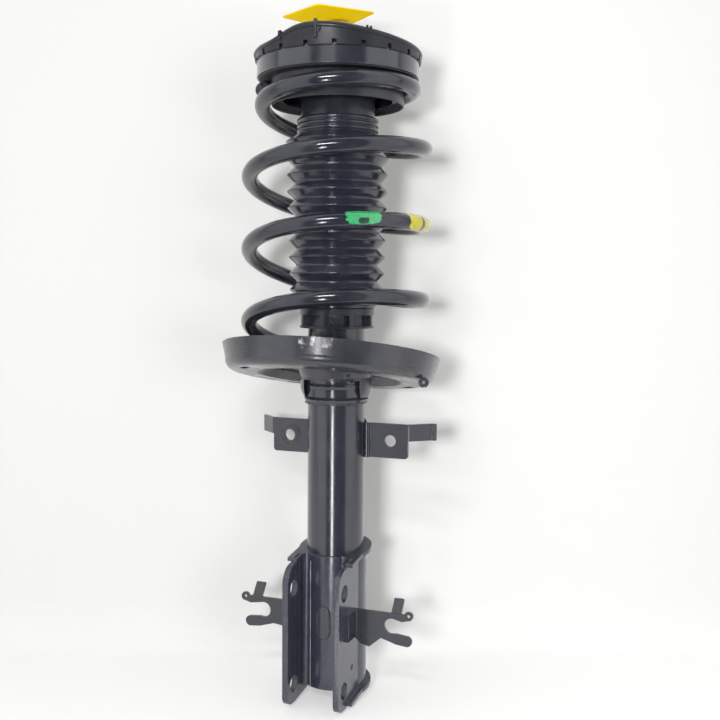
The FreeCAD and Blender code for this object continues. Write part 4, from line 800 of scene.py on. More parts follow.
@dataclass
class CoilSpring(SubAssembly):
    """The coil spring, lying in the tilted seat below and drawn in at the top."""

    wire_r: float = 0.007
    end_bevel: float = 0.0007
    coil_r: float = 0.077
    top_coil_r: float = 0.066
    offset: float = -0.0015
    pitch: float = 0.065
    start: float = -222.0
    end: float = 1640.0
    low_z: float = 0.2813
    top_z: float = 0.5225
    tilt: float = 11.5
    lift_off: float = 38.0
    lower_blend: float = 45.0
    upper_blend: float = 70.0
    narrowing: tuple[float, float] = (1090.0, 1280.0)
    step: float = 5.0
    sides: int = 28
    measuring_steps: int = 400
    dabs: tuple[Dab, ...] = (
        Dab((0.035, 0.27, 0.10), 667.5, 10.3, 0.10, 0.20, 667.3, 3.0, -0.03, 0.06),
        Dab((0.48, 0.41, 0.004), 717.0, 17.5, 0.06, 0.30, 714.5, 2.0, -0.03, 0.16))
    finish: MarkedSpringFinish = field(default_factory=lambda: MarkedSpringFinish(
        "spring_coat", (0.0105, 0.0117, 0.0178), (0.12, 0.20), coat=0.2, ior=1.55, wear=0.12))

    @staticmethod
    def eased(past: float, half_width: float) -> float:
        """A rise that starts with a smooth bend.

        Args:
            past: How far past the middle of the bend.
            half_width: How far the bend reaches to either side.

        Returns:
            Zero before the bend, a straight line after it, and a curve between.
        """
        if abs(past) >= half_width:
            return max(0.0, past)
        return (past + half_width) ** 2 / (4.0 * half_width)

    def point(self, angle: float) -> Vector:
        """A point on the wire's centre line.

        Args:
            angle: The angle up the coil, in degrees.

        Returns:
            The point, in the row frame.
        """
        rise = self.pitch / 360.0
        landing = self.lift_off + (self.top_z - self.low_z) / rise
        lifted = self.eased(angle - self.lift_off, self.lower_blend)
        landed = self.eased(angle - landing, self.upper_blend)
        share = held((angle - self.lift_off) / (landing - self.lift_off))
        tip = self.coil_r * math.tan(math.radians(self.tilt)) * (1.0 - share * share)
        height = self.low_z + rise * (lifted - landed) - tip * math.sin(math.radians(angle))
        drawn = held((angle - self.narrowing[0]) / (self.narrowing[1] - self.narrowing[0]))
        radius = self.coil_r + (self.top_coil_r - self.coil_r) * drawn * drawn * (3.0 - 2.0 * drawn)
        return around_axis(radius, math.radians(angle), height) + Vector((self.offset * (1.0 - share), 0.0, 0.0))

    def points(self, end: float, count: int) -> list[Vector]:
        """The wire's centre line from its start to an angle, in equal steps."""
        return [self.point(angle) for angle in spread(self.start, end, count)]

    def length_at(self, angle: float) -> float:
        """The length along the wire from its start to this angle."""
        points = self.points(angle, self.measuring_steps)
        return sum((high - low).length for low, high in zip(points, points[1:]))

    def measured(self, dab: Dab) -> tuple[float, float, float, float]:
        """Measure a dab along the wire.

        Args:
            dab: The dab, placed by angles.

        Returns:
            Its centre and half length, and its gap's.
        """
        centre, gap = self.length_at(dab.angle), self.length_at(dab.gap_angle)
        half = self.length_at(dab.angle + dab.half_angle) - centre
        return centre, half, gap, self.length_at(dab.gap_angle + dab.gap_half_angle) - gap

    def build(self) -> list[Piece]:
        """Sweep the wire, with its ends a little rounded, and dress it.

        Returns:
            The spring.
        """
        path = self.points(self.end, int((self.end - self.start) / self.step))
        path.insert(1, path[0] + (path[1] - path[0]).normalized() * self.end_bevel)
        path.insert(-1, path[-1] + (path[-2] - path[-1]).normalized() * self.end_bevel)
        radii = [self.wire_r] * len(path)
        radii[0] = radii[-1] = self.wire_r - self.end_bevel
        spring = swept_tube("spring_wire", path, radii, self.sides)
        marked = replace(self.finish, dabs=self.dabs, along=tuple(self.measured(dab) for dab in self.dabs))
        self.wardrobe.dress(spring, marked, 40.0)
        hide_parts("coil_spring")
        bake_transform(spring)
        return [spring]


@dataclass
class DustBoot(SubAssembly):
    """The folded boot between the cup on the tube and the upper seat."""

    foot_z: float = 0.3313
    folds_low_z: float = 0.340
    top_z: float = 0.497
    folds: int = 10
    top_rings: int = 3
    ring_pitch: float = 0.0044
    ring_r: float = 0.036
    ring_span: tuple[float, float] = (0.3, 0.7)
    peak_r: tuple[float, float] = (0.0420, 0.0457)
    peak_span: tuple[float, float] = (0.47, 0.53)
    valley_r: tuple[float, float] = (0.0346, 0.0388)
    neck_r: float = 0.0344
    wall: float = 0.0018
    travel: float = 0.120
    fold_round: float = 0.0022
    segments: int = 128

    def outline(self) -> list[tuple[float, float]]:
        """The boot's outer corners from its foot up.

        Returns:
            Corners as (radius, height).
        """
        folds_top = self.top_z - self.top_rings * self.ring_pitch
        pitch = (folds_top - self.folds_low_z) / self.folds
        corners = [(self.valley_r[0], self.foot_z)]
        for fold in range(self.folds):
            share = fold / (self.folds - 1.0)
            valley, peak = (low + (high - low) * share for low, high in (self.valley_r, self.peak_r))
            foot = self.folds_low_z + pitch * fold
            corners += [(valley, foot), *((peak, foot + pitch * part) for part in self.peak_span)]
        for ring in range(self.top_rings):
            foot = folds_top + self.ring_pitch * ring
            corners += [(self.neck_r, foot), *((self.ring_r, foot + self.ring_pitch * part)
                                               for part in self.ring_span)]
        return corners + [(self.neck_r, self.top_z)]

    def build(self) -> list[Piece]:
        """Turn the boot with a wall of even thickness.

        Returns:
            The boot.
        """
        outer = self.outline()
        inner = [(radius - self.wall, height) for radius, height in reversed(outer)]
        boot = lathe("boot_folds", eased_outline(outer + inner, self.fold_round), self.segments)
        self.settle(boot, "boot_rubber", 50.0, Body.UPPER_SEAT, solid="dust_boot")
        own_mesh(boot)
        return [boot]


@dataclass
class SoftParts(SubAssembly):
    """The foam bump stop, the spring's pads, the top mount's rubber and the band's rolled edge."""

    bump_z: tuple[float, float] = (0.4513, 0.531)
    bump_bore_r: float = 0.012
    bump_radii: tuple[float, ...] = (0.019, 0.024, 0.0205, 0.026, 0.0205, 0.026, 0.026)
    bump_round: float = 0.004
    rubber_round: float = 0.0009
    upper_section: Outline = (
        (0.0696, 0.5298), (0.0696, 0.5310), (0.0549, 0.5310), (0.0549, 0.5117), (0.0563, 0.5117),
        (0.0563, 0.5075), (0.0582, 0.5075), (0.0582, 0.5298))
    block_section: Outline = (
        (0.0150, 0.5480), (0.0260, 0.5480), (0.0360, 0.5453), (0.0360, 0.5585), (0.0320, 0.5625),
        (0.0290, 0.5625), (0.0270, 0.5600), (0.0225, 0.5600), (0.0205, 0.5625), (0.0180, 0.5612),
        (0.0150, 0.5595))
    strip_section: Outline = (
        (0.0695, -0.0200), (0.0845, -0.0200), (0.0845, -0.0165), (0.0825, -0.0162), (0.0800, -0.0170),
        (0.0740, -0.0170), (0.0715, -0.0162), (0.0695, -0.0165))
    strip_round: float = 0.0006
    strip_span: tuple[float, float] = (-240.0, 60.0)
    seat_tilt: float = -11.5
    seat_middle: Spot = (-0.005, 0.0, 0.291)
    edge_r: float = 0.0706
    edge_z: float = 0.5314
    edge_bead: float = 0.0007
    edge_sides: int = 10

    def bump_stop(self) -> Piece:
        """Turn the waisted foam bump stop.

        Returns:
            The bump stop.
        """
        low, high = self.bump_z
        step = (high - low) / (len(self.bump_radii) - 1)
        outer = [(radius, low + step * index) for index, radius in enumerate(self.bump_radii)]
        bore = [(self.bump_bore_r, high), (self.bump_bore_r, low)]
        foam = lathe("bump_foam", eased_outline(outer + bore, self.bump_round, 5), 72)
        return self.settle(foam, "foam", 45.0, Body.UPPER_SEAT, solid="bump_stop")

    def upper_pad(self) -> Piece:
        """Turn the pad over the top coil, with its lip round the seat's centring wall."""
        pad = lathe("upper_pad_ring", eased_outline(self.upper_section, self.rubber_round), 128)
        return self.settle(pad, "pad_rubber", 40.0, Body.UPPER_SEAT, solid="upper_spring_pad")

    def lower_pad(self) -> Piece:
        """Lay the grooved strip under the end coil, in the tilted seat.

        Returns:
            The pad.
        """
        tip = Matrix.Rotation(math.radians(self.seat_tilt), 3, "X")
        strip = arc("lower_pad_strip", eased_outline(self.strip_section, self.strip_round, 3),
                    self.strip_span, 100, tip, STRUT_AXIS + Vector(self.seat_middle))
        return self.settle(strip, "pad_rubber", 40.0, Body.DAMPER, solid="lower_spring_pad")

    def mount_rubber(self) -> Piece:
        """Turn the top mount's rubber, with a moulded groove in its upper face."""
        block = lathe("mount_rubber_block", eased_outline(self.block_section, self.rubber_round))
        return self.settle(block, "pad_rubber", 45.0, Body.TOP_MOUNT, solid="mount_rubber")

    def band_edge(self) -> Piece:
        """Turn the bright rolled edge at the foot of the upper seat's band.

        Returns:
            The edge.
        """
        section = [(self.edge_r + self.edge_bead * math.cos(turn), self.edge_z + self.edge_bead * math.sin(turn))
                   for turn in spread(0.0, -FULL_TURN, self.edge_sides)[:-1]]
        return self.settle(lathe("band_edge", section, 160), "band_paint", 60.0, Body.UPPER_SEAT)

    def build(self) -> list[Piece]:
        """Build the soft parts and the band's edge."""
        return [self.bump_stop(), self.upper_pad(), self.lower_pad(), self.mount_rubber(), self.band_edge()]


@dataclass
class BearingCap(SubAssembly):
    """The moulded cap over the bearing: a rolled rim that rises to one peak, notches, ribs and lugs."""

    camera_side: float = 292.0
    outer_r: float = 0.073
    bottom_z: float = 0.545
    foot: Outline = ((0.0361, 0.5450), (0.0455, 0.5450), (0.0455, 0.5471), (0.0585, 0.5471), (0.0585, 0.5450))
    rim: Outline = ((0.0, -0.0004), (0.0007, 0.0), (0.0009, 0.0012), (0.0004, 0.0026), (-0.0009, 0.0040),
                    (-0.0026, 0.0048), (-0.0058, 0.0048), (-0.0067, 0.0041))
    recess: Outline = ((0.0660, 0.5504), (0.0654, 0.5498), (0.0418, 0.5498), (0.0412, 0.5504),
                       (0.0409, 0.5539), (0.0403, 0.5545), (0.0367, 0.5545), (0.0361, 0.5539))
    low_crease_z: float = 0.5496
    peak_rise: float = 0.0100
    peak_at: float = -15.0
    rise_before: tuple[float, float] = (27.0, 3.0)
    rise_after: tuple[float, float] = (50.0, 1.7)
    step: float = 1.5
    notches: int = 19
    first_notch: float = -2.5
    notch_half: float = 1.5
    notch_side: float = 0.1
    notch_clear: float = 0.2
    notch_depth: float = 0.0042
    notch_z: float = 0.5490
    notch_slope: float = 0.0002
    foot_bevel: float = 0.0004
    ribs: int = 12
    rib_radii: tuple[float, float] = (0.0408, 0.0664)
    rib_z: tuple[float, float] = (0.5493, 0.5530)
    rib_half: float = 0.0012
    rib_levels: tuple[float, float, float] = (1.0, 0.9, 0.6)
    rib_ease: float = 0.0008
    lugs: tuple[tuple[float, float, float, float], ...] = (
        (-14.5, 0.0026, 0.0090, 0.0022), (-41.0, 0.0020, 0.0020, 0.0018), (18.8, 0.0018, -0.0022, 0.0004),
        (21.4, 0.0018, -0.0022, 0.0004), (165.5, 0.0026, 0.0030, 0.0020), (134.5, 0.0020, 0.0020, 0.0018))
    lug_root: float = 0.0020
    lug_top: float = 0.0059
    gusset: float = 0.0042
    gusset_start: float = 0.0008
    gusset_wall: float = 0.0012
    gusset_drop: float = 0.0010
    gusset_radii: tuple[float, float] = (-0.0012, 0.0011)

    def crease(self, turn: float) -> float:
        """The height where the wall ends and the rolled rim starts.

        Args:
            turn: The angle from the camera's side, in degrees.

        Returns:
            The height.
        """
        away = wrapped(turn - self.peak_at)
        width, power = self.rise_before if away < 0.0 else self.rise_after
        return self.low_crease_z + self.peak_rise * math.exp(-abs(away / width) ** power)

    def section(self, turn: float, notched: bool) -> Outline:
        """The cap's closed section at one angle.

        Args:
            turn: The angle from the camera's side, in degrees.
            notched: Whether this angle lies in a notch.

        Returns:
            Corners as (radius, height).
        """
        crease = self.crease(turn)
        edge = self.outer_r - (self.notch_depth if notched else 0.0)
        return [*self.foot, (edge - self.foot_bevel, self.bottom_z), (edge, self.bottom_z + self.foot_bevel),
                (edge, self.notch_z), (self.outer_r, self.notch_z + self.notch_slope),
                *((self.outer_r + out, crease + rise) for out, rise in self.rim), *self.recess]

    def turns(self) -> list[tuple[float, bool]]:
        """The angles of the sections, with the sides of every notch among them.

        Returns:
            Each angle from the camera's side, in degrees, and whether it lies in a notch.
        """
        half = self.notch_half
        centres = [self.first_notch + 360.0 / self.notches * index for index in range(self.notches)]
        turns = [(turn, False) for turn in (self.step * index for index in range(int(360.0 / self.step)))
                 if all(abs(wrapped(turn - centre)) > half + self.notch_clear for centre in centres)]
        for centre in centres:
            for side, notched in ((-half, False), (self.notch_side - half, True), (0.0, True),
                                  (half - self.notch_side, True), (half, False)):
                turns.append(((centre + side) % 360.0, notched))
        return sorted(turns)

    def rib(self, radii: tuple[float, float], heights: tuple[float, float], half: float) -> list[list[Spot]]:
        """A radial wall with a narrower, eased top.

        Args:
            radii: Its inner and outer radius.
            heights: The heights of its foot and its top.
            half: Half its thickness at the foot.

        Returns:
            Its rings of corners as (radius, offset to the side, height).
        """
        (inner, outer), (low, high) = radii, heights
        ease = min(self.rib_ease, 0.3 * (high - low), 0.3 * (outer - inner))
        rings = []
        for share, height, draw in zip(self.rib_levels, (low, high - ease, high), (0.0, 0.0, ease)):
            near, far, aside = inner + draw, outer - draw, half * share
            rings.append([(near, -aside, height), (far, -aside, height), (far, aside, height),
                          (near, aside, height)])
        return rings

    def brace(self, side: float, high: float) -> list[list[Spot]]:
        """A slanted brace beside a tall lug.

        Args:
            side: Which side of the lug it stands on, 1 or -1.
            high: The height of its upper end.

        Returns:
            Its rings of corners as (radius, offset to the side, height).
        """
        near, far, wall = self.gusset_start, self.gusset, self.gusset_wall
        profile = ((near, high - far), (near, high - far - wall), (far, high - wall), (far, high))
        return [[(self.outer_r + stand - reach * reach / (2.0 * self.outer_r), side * reach, height)
                 for reach, height in profile] for stand in self.gusset_radii]

    def blocks(self) -> list[tuple[float, list[list[Spot]]]]:
        """All the ribs, lugs and braces.

        Returns:
            Each one's angle from the camera's side, in degrees, and its rings of corners.
        """
        rib = self.rib(self.rib_radii, self.rib_z, self.rib_half)
        made = [(360.0 * (index + 0.5) / self.ribs, rib) for index in range(self.ribs)]
        for turn, width, drop, stand in self.lugs:
            crease = self.crease(turn)
            made.append((turn, self.rib((self.outer_r - self.lug_root, self.outer_r + stand),
                                        (crease - drop, crease + self.lug_top), width / 2.0)))
            if drop > self.gusset:
                made += [(turn, self.brace(side, crease - self.gusset_drop)) for side in (-1.0, 1.0)]
        return made

    def build(self) -> list[Piece]:
        """Build the cap with its notches, ribs and lugs as one mesh.

        Returns:
            The cap.
        """
        turns = self.turns()
        sections = [self.section(turn, notched) for turn, notched in turns]
        vertices = [around_axis(radius, math.radians(self.camera_side + turn), height)
                    for (turn, _), section in zip(turns, sections) for radius, height in section]
        faces = skin(len(turns), len(sections[0]), looped=True)
        for turn, rings in self.blocks():
            way = round_z(1.0, math.radians(self.camera_side + turn), 0.0)
            across = Vector((-way.y, way.x, 0.0))
            first = len(vertices)
            vertices += [STRUT_AXIS + way * radius + across * aside + UP * height
                         for ring in rings for radius, aside, height in ring]
            faces += [tuple(first + corner for corner in face) for face in skin(len(rings), 4, capped=True)]
        cap = mesh_object("cap_shell", vertices, faces)
        return [self.settle(cap, "cap_plastic", 38.0, Body.TOP_MOUNT, solid="bearing_cap")]


@dataclass(frozen=True)
class Hole:
    """A little punched hole: what it is punched in, its middle, the way it looks and its radius."""

    name: str
    place: Spot
    way: Spot
    radius: float


@dataclass
class SmallFeatures(SubAssembly):
    """The punched holes, drawn as lips round discs of painted shade, the curled tab, the pressed edges with a painted
    highlight on the bulge's crease, and the boot cup's closed panels.
    """

    holes: tuple[Hole, ...] = (
        Hole("flange", (0.0265, 0.0186, 0.0150), (1.0, 0.0, 0.0), 0.0021),
        Hole("clip", (0.0320, 0.0227, 0.0419), (0.0, -1.0, 0.0), 0.0014),
        Hole("tube", (0.0082, 0.0175, 0.1017), (0.31, -0.95, 0.0), 0.0008),
        Hole("sleeve", (0.0252, 0.0170, 0.2690), (0.72, -0.68, -0.1), 0.0016))
    lip: Outline = ((1.30, 0.00002), (1.18, 0.00014), (1.04, 0.00012), (0.96, 0.00004), (0.90, 0.00002))
    shade_disc_lift: float = 0.00002
    hole_steps: int = 28
    tab_centre: Spot = (0.0868, 0.0280, 0.2690)
    tab_way: Spot = (0.55, -0.83, 0.0)
    tab_span: tuple[float, float] = (-80.0, 265.0)
    tab_r: float = 0.0030
    tab_wire: float = 0.0017
    bulge_r: float = 0.0281
    oval_z: float = 0.052
    oval_half: tuple[float, float] = (0.0060, 0.0085)
    oval_bead: float = 0.0007
    crease_r: float = 0.0280
    crease_angle: float = 240.0
    crease_span: tuple[float, float] = (-0.0100, 0.1060)
    crease_bead: float = 0.00035
    bulge_up: Spot = (0.11, -1.0, 0.07)
    ring_centre: Spot = (-0.0490, 0.0507, 0.2130)
    ring_r: float = 0.0083
    ring_bead: float = 0.00045
    panel_section: Outline = ((0.0313, 0.3152), (0.0331, 0.3152), (0.0331, 0.3252), (0.0313, 0.3252))
    panel_round: float = 0.0004
    panel_spans: tuple[tuple[float, float], ...] = ((273.0, 303.0), (93.0, 123.0))

    def hole(self, hole: Hole) -> Piece:
        """Build a hole's raised lip and, inside it, a near-black disc of painted shade in place of the opening.

        Args:
            hole: The hole.

        Returns:
            The piece.
        """
        place, way = Vector(hole.place), Vector(hole.way).normalized()
        side = way.orthogonal().normalized()
        top = way.cross(side)
        steps, count = self.hole_steps, len(self.lip)
        vertices = []
        for angle in spread(0.0, FULL_TURN, steps)[:-1]:
            ray = side * math.cos(angle) + top * math.sin(angle)
            vertices += [place + ray * (share * hole.radius) + way * lift for share, lift in self.lip]
        inner = [step * count + count - 1 for step in range(steps)]
        faces = skin(steps, count, looped=True, closed=False)
        faces += [(here, there, len(vertices)) for here, there in zip(inner, inner[1:] + inner[:1])]
        # The lifted centre point closes a near-black disc of painted shade over the hole, and the lip takes the same
        # painted shade.
        piece = mesh_object("hole_" + hole.name, vertices + [place + way * self.shade_disc_lift], faces)
        return self.settle(piece, "hole_painted_shade", 60.0, Body.DAMPER, "bracket_paint")

    def oval(self) -> Piece:
        """Run the rounded edge round the pressed oval on the bracket's bulge.

        Returns:
            The edge.
        """
        half, straight = self.oval_half
        flat = [(half * math.cos(angle), end * straight + half * math.sin(angle))
                for end, start in ((1.0, 0.0), (-1.0, 180.0))
                for angle in map(math.radians, spread(start, start + 180.0, 18))]
        path = [around_axis(self.bulge_r, -math.pi / 2.0 + side / self.bulge_r, self.oval_z + rise)
                for side, rise in flat + flat[:1]]
        edge = swept_tube("oval_edge", path, self.oval_bead, 12, Vector(self.bulge_up))
        return self.settle(edge, "bracket_paint", 60.0, Body.DAMPER)

    def crease(self) -> Piece:
        """Run the sharp crease down the bulge's left side, painted light grey as a painted highlight line.

        Returns:
            The crease.
        """
        angle = math.radians(self.crease_angle)
        path = [around_axis(self.crease_r, angle, height) for height in spread(*self.crease_span, 20)]
        line = swept_tube("bulge_crease", path, self.crease_bead, 12, Vector(self.bulge_up))
        # Its light grey finish is a painted highlight along the crease, not worn paint.
        return self.settle(line, "crease_painted_highlight", 60.0, Body.DAMPER, "bracket_paint")

    def boss_ring(self) -> Piece:
        """Press the fine ring round the left hole of the link bracket.

        Returns:
            The ring.
        """
        path = [Vector(self.ring_centre) + Vector((math.cos(turn), 0.0, math.sin(turn))) * self.ring_r
                for turn in spread(0.0, FULL_TURN, 48)]
        ring = swept_tube("boss_ring", path, self.ring_bead, 10, Vector((0.0, 1.0, 0.0)))
        return self.settle(ring, "bracket_paint", 60.0, Body.DAMPER)

    def panel(self, span: tuple[float, float]) -> Piece:
        """Close part of one window of the boot cup, between two angles in degrees."""
        panel = arc(f"cup_panel_{int(span[0])}", eased_outline(self.panel_section, self.panel_round, 2), span, 16)
        return self.settle(panel, "cup_plastic", 40.0, Body.DAMPER)

    def tab(self) -> Piece:
        """Curl the small tab under the seat's edge.

        Returns:
            The tab.
        """
        way = Vector(self.tab_way).normalized()
        across = Vector((-way.y, way.x, 0.0))
        path = [Vector(self.tab_centre) + (across * math.cos(angle) + UP * math.sin(angle)) * self.tab_r
                for angle in map(math.radians, spread(*self.tab_span, 24))]
        tab = swept_tube("seat_tab", path, self.tab_wire, 12, way)
        return self.settle(tab, "bracket_paint", 50.0, Body.DAMPER, "seat_paint")

    def build(self) -> list[Piece]:
        """Build and dress the small features."""
        return [self.oval(), self.crease(), self.boss_ring(), *map(self.hole, self.holes),
                *map(self.panel, self.panel_spans), self.tab()]


@dataclass
class TopHardware(SubAssembly):
    """The stud's thread and the plain card pushed over it."""

    thread_z: tuple[float, float] = (0.5817, 0.5909)
    thread_pitch: float = 0.0015
    thread_steps: int = 48
    thread_taper: float = 0.5
    base_r: float = 0.00652
    thread_section: Outline = ((0.0, -0.5), (0.0003, -0.42), (0.00093, -0.08), (0.00093, 0.08), (0.0003, 0.42),
                               (0.0, 0.5))
    card_z: float = 0.5802
    card_size: tuple[float, float] = (0.0588, 0.0609)
    card_angle: float = 55.0
    card_centre: tuple[float, float] = (-0.0028, -0.0170)
    card_thickness: float = 0.0006
    card_rows: int = 14
    card_steps: int = 64
    row_power: float = 1.3
    hole_r: float = 0.0072
    flat_r: float = 0.012
    lift: float = 0.00135
    bow: float = 0.35
    lean: float = 6.0
    twist: float = 1.5

    def thread(self) -> Piece:
        """Wind the thread round the stud's end, tapered at both of its own ends.

        Returns:
            The thread.
        """
        low, high = self.thread_z
        count = int(((high - low) / self.thread_pitch - 1.0) * self.thread_steps)
        run_out = self.thread_taper * self.thread_steps
        vertices = []
        for step in range(count + 1):
            lift = low + self.thread_pitch * (0.5 + step / self.thread_steps)
            taper = min(1.0, step / run_out, (count - step) / run_out)
            vertices += [around_axis(self.base_r + stand * taper, FULL_TURN * step / self.thread_steps,
                                     lift + share * self.thread_pitch) for stand, share in self.thread_section]
        thread = mesh_object("stud_thread", vertices, skin(count + 1, len(self.thread_section), closed=False))
        return self.settle(thread, "plated_steel", 25.0, Body.TOP_MOUNT)

    def card(self) -> Piece:
        """Build the thin card, a little bowed, with its punched hole.

        Returns:
            The card.
        """
        turn = Matrix.Rotation(math.radians(self.card_angle), 3, "Z")
        centre = Vector((*self.card_centre, 0.0))
        hole = turn.inverted() @ -centre
        vertices = []
        for row in range(self.card_rows + 1):
            for angle in spread(0.0, FULL_TURN, self.card_steps)[:-1]:
                way = round_z(1.0, angle, 0.0)
                inner = hole + way * self.hole_r
                place = inner.lerp(self.edge_of_card(hole, way), (row / self.card_rows) ** self.row_power)
                place.z = self.bowed(place, hole)
                vertices.append(STRUT_AXIS + centre + turn @ place + UP * self.card_z)
        card = mesh_object("card_sheet", vertices, skin(self.card_rows + 1, self.card_steps))
        thicken = card.modifiers.new("thickness", "SOLIDIFY")
        thicken.thickness = self.card_thickness
        thicken.offset = 1.0
        return self.settle(card, "card", 60.0, Body.TOP_MOUNT, solid="handling_tag")

    def edge_of_card(self, hole: Vector, way: Vector) -> Vector:
        """Where a ray from the hole's centre leaves the card's rectangle.

        Args:
            hole: The hole's centre on the flat card.
            way: The ray's direction.

        Returns:
            The place on the card's edge.
        """
        reach = min((math.copysign(size / 2.0, part) - start) / part
                    for size, part, start in zip(self.card_size, way, hole) if abs(part) > 1e-9)
        return hole + way * reach

    def bowed(self, place: Vector, hole: Vector) -> float:
        """The lift of a place on the flat card away from the nut, a little more at two of its corners."""
        rise = self.bow * max(0.0, (place - hole).length - self.flat_r) ** 2 * (1.0 + self.lean * place.x)
        return rise + self.lift - self.twist * place.x * place.y

    def build(self) -> list[Piece]:
        """Build the thread and the card."""
        return [self.thread(), self.card()]


@dataclass
class WeldRuns(SubAssembly):
    """The welds that show between the brackets, the collar and the tube."""

    tube_r: float = 0.0255
    rings: tuple[tuple[str, float, float, float, float, float], ...] = (
        ("weld_collar", 0.0009, 0.2476, 200.0, 380.0, 0.0017),
        ("weld_link_top_right", 0.0009, 0.2290, 28.0, 70.0, 0.0017),
        ("weld_link_top_left", 0.0009, 0.2290, 110.0, 152.0, 0.0017),
        ("weld_bracket_back", 0.0010, 0.1198, 40.0, 140.0, 0.0018))
    straights: tuple[tuple[str, Spot, Spot, int, float, float], ...] = (
        ("weld_notch", (0.0249, 0.0090, 0.1098), (0.0249, 0.0205, 0.1112), 9, 0.0018, 3.0),
        ("weld_clip", (0.0268, 0.0228, 0.0655), (0.0268, 0.0228, 0.0440), 12, 0.0013, 9.0))
    ring_step: float = 2.5
    seed_rise: float = 400.0
    end_steps: float = 3.0
    end_share: float = 0.45
    sine_ripple: float = 0.12
    sine_step: float = 1.9
    noise_ripple: float = 0.35
    noise_step: float = 0.31
    bead_sides: int = 14
    steadying: Spot = (0.13, 0.21, 0.97)

    def run(self, name: str, path: list[Vector], radius: float, seed: float) -> Piece:
        """Lay one uneven weld bead along a path.

        Args:
            name: The bead's name.
            path: The line that it follows.
            radius: Its mean radius.
            seed: Where its unevenness is read.

        Returns:
            The bead.
        """
        radii = []
        for index in range(len(path)):
            end = min(1.0, (index + 0.6) / self.end_steps, (len(path) - index - 0.4) / self.end_steps)
            ripple = (self.sine_ripple * math.sin(index * self.sine_step)
                      + self.noise_ripple * noise.noise(Vector((seed, index * self.noise_step, 0.0))))
            radii.append(radius * (1.0 - self.end_share + self.end_share * end) * (1.0 + ripple))
        bead = swept_tube(name, path, radii, self.bead_sides, Vector(self.steadying))
        return self.settle(bead, "weld_metal", 60.0, Body.DAMPER, "bracket_paint")

    def build(self) -> list[Piece]:
        """Lay the runs round the tube, and then the straight ones on both sides.

        Returns:
            The beads.
        """
        beads = []
        for name, stand, height, start, end, radius in self.rings:
            count = max(8, int(abs(end - start) / self.ring_step))
            path = [around_axis(self.tube_r + stand, math.radians(turn), height)
                    for turn in spread(start, end, count)]
            beads.append(self.run(name, path, radius, height * self.seed_rise + start))
        for side, word in ((1.0, "right"), (-1.0, "left")):
            for name, start, end, steps, radius, seed in self.straights:
                first, last = (Vector((side * spot[0], *spot[1:])) for spot in (start, end))
                path = [first.lerp(last, share) for share in spread(0.0, 1.0, steps)]
                beads.append(self.run(f"{name}_{word}", path, radius, seed + side))
        return beads


# Studio

@dataclass(frozen=True)
class Lamp:
    """A soft rectangular lamp that looks at the strut's middle, its azimuth counted left from the camera."""

    name: str
    azimuth: float
    elevation: float
    distance: float
    size: tuple[float, float]
    power: float
    mirrored: bool


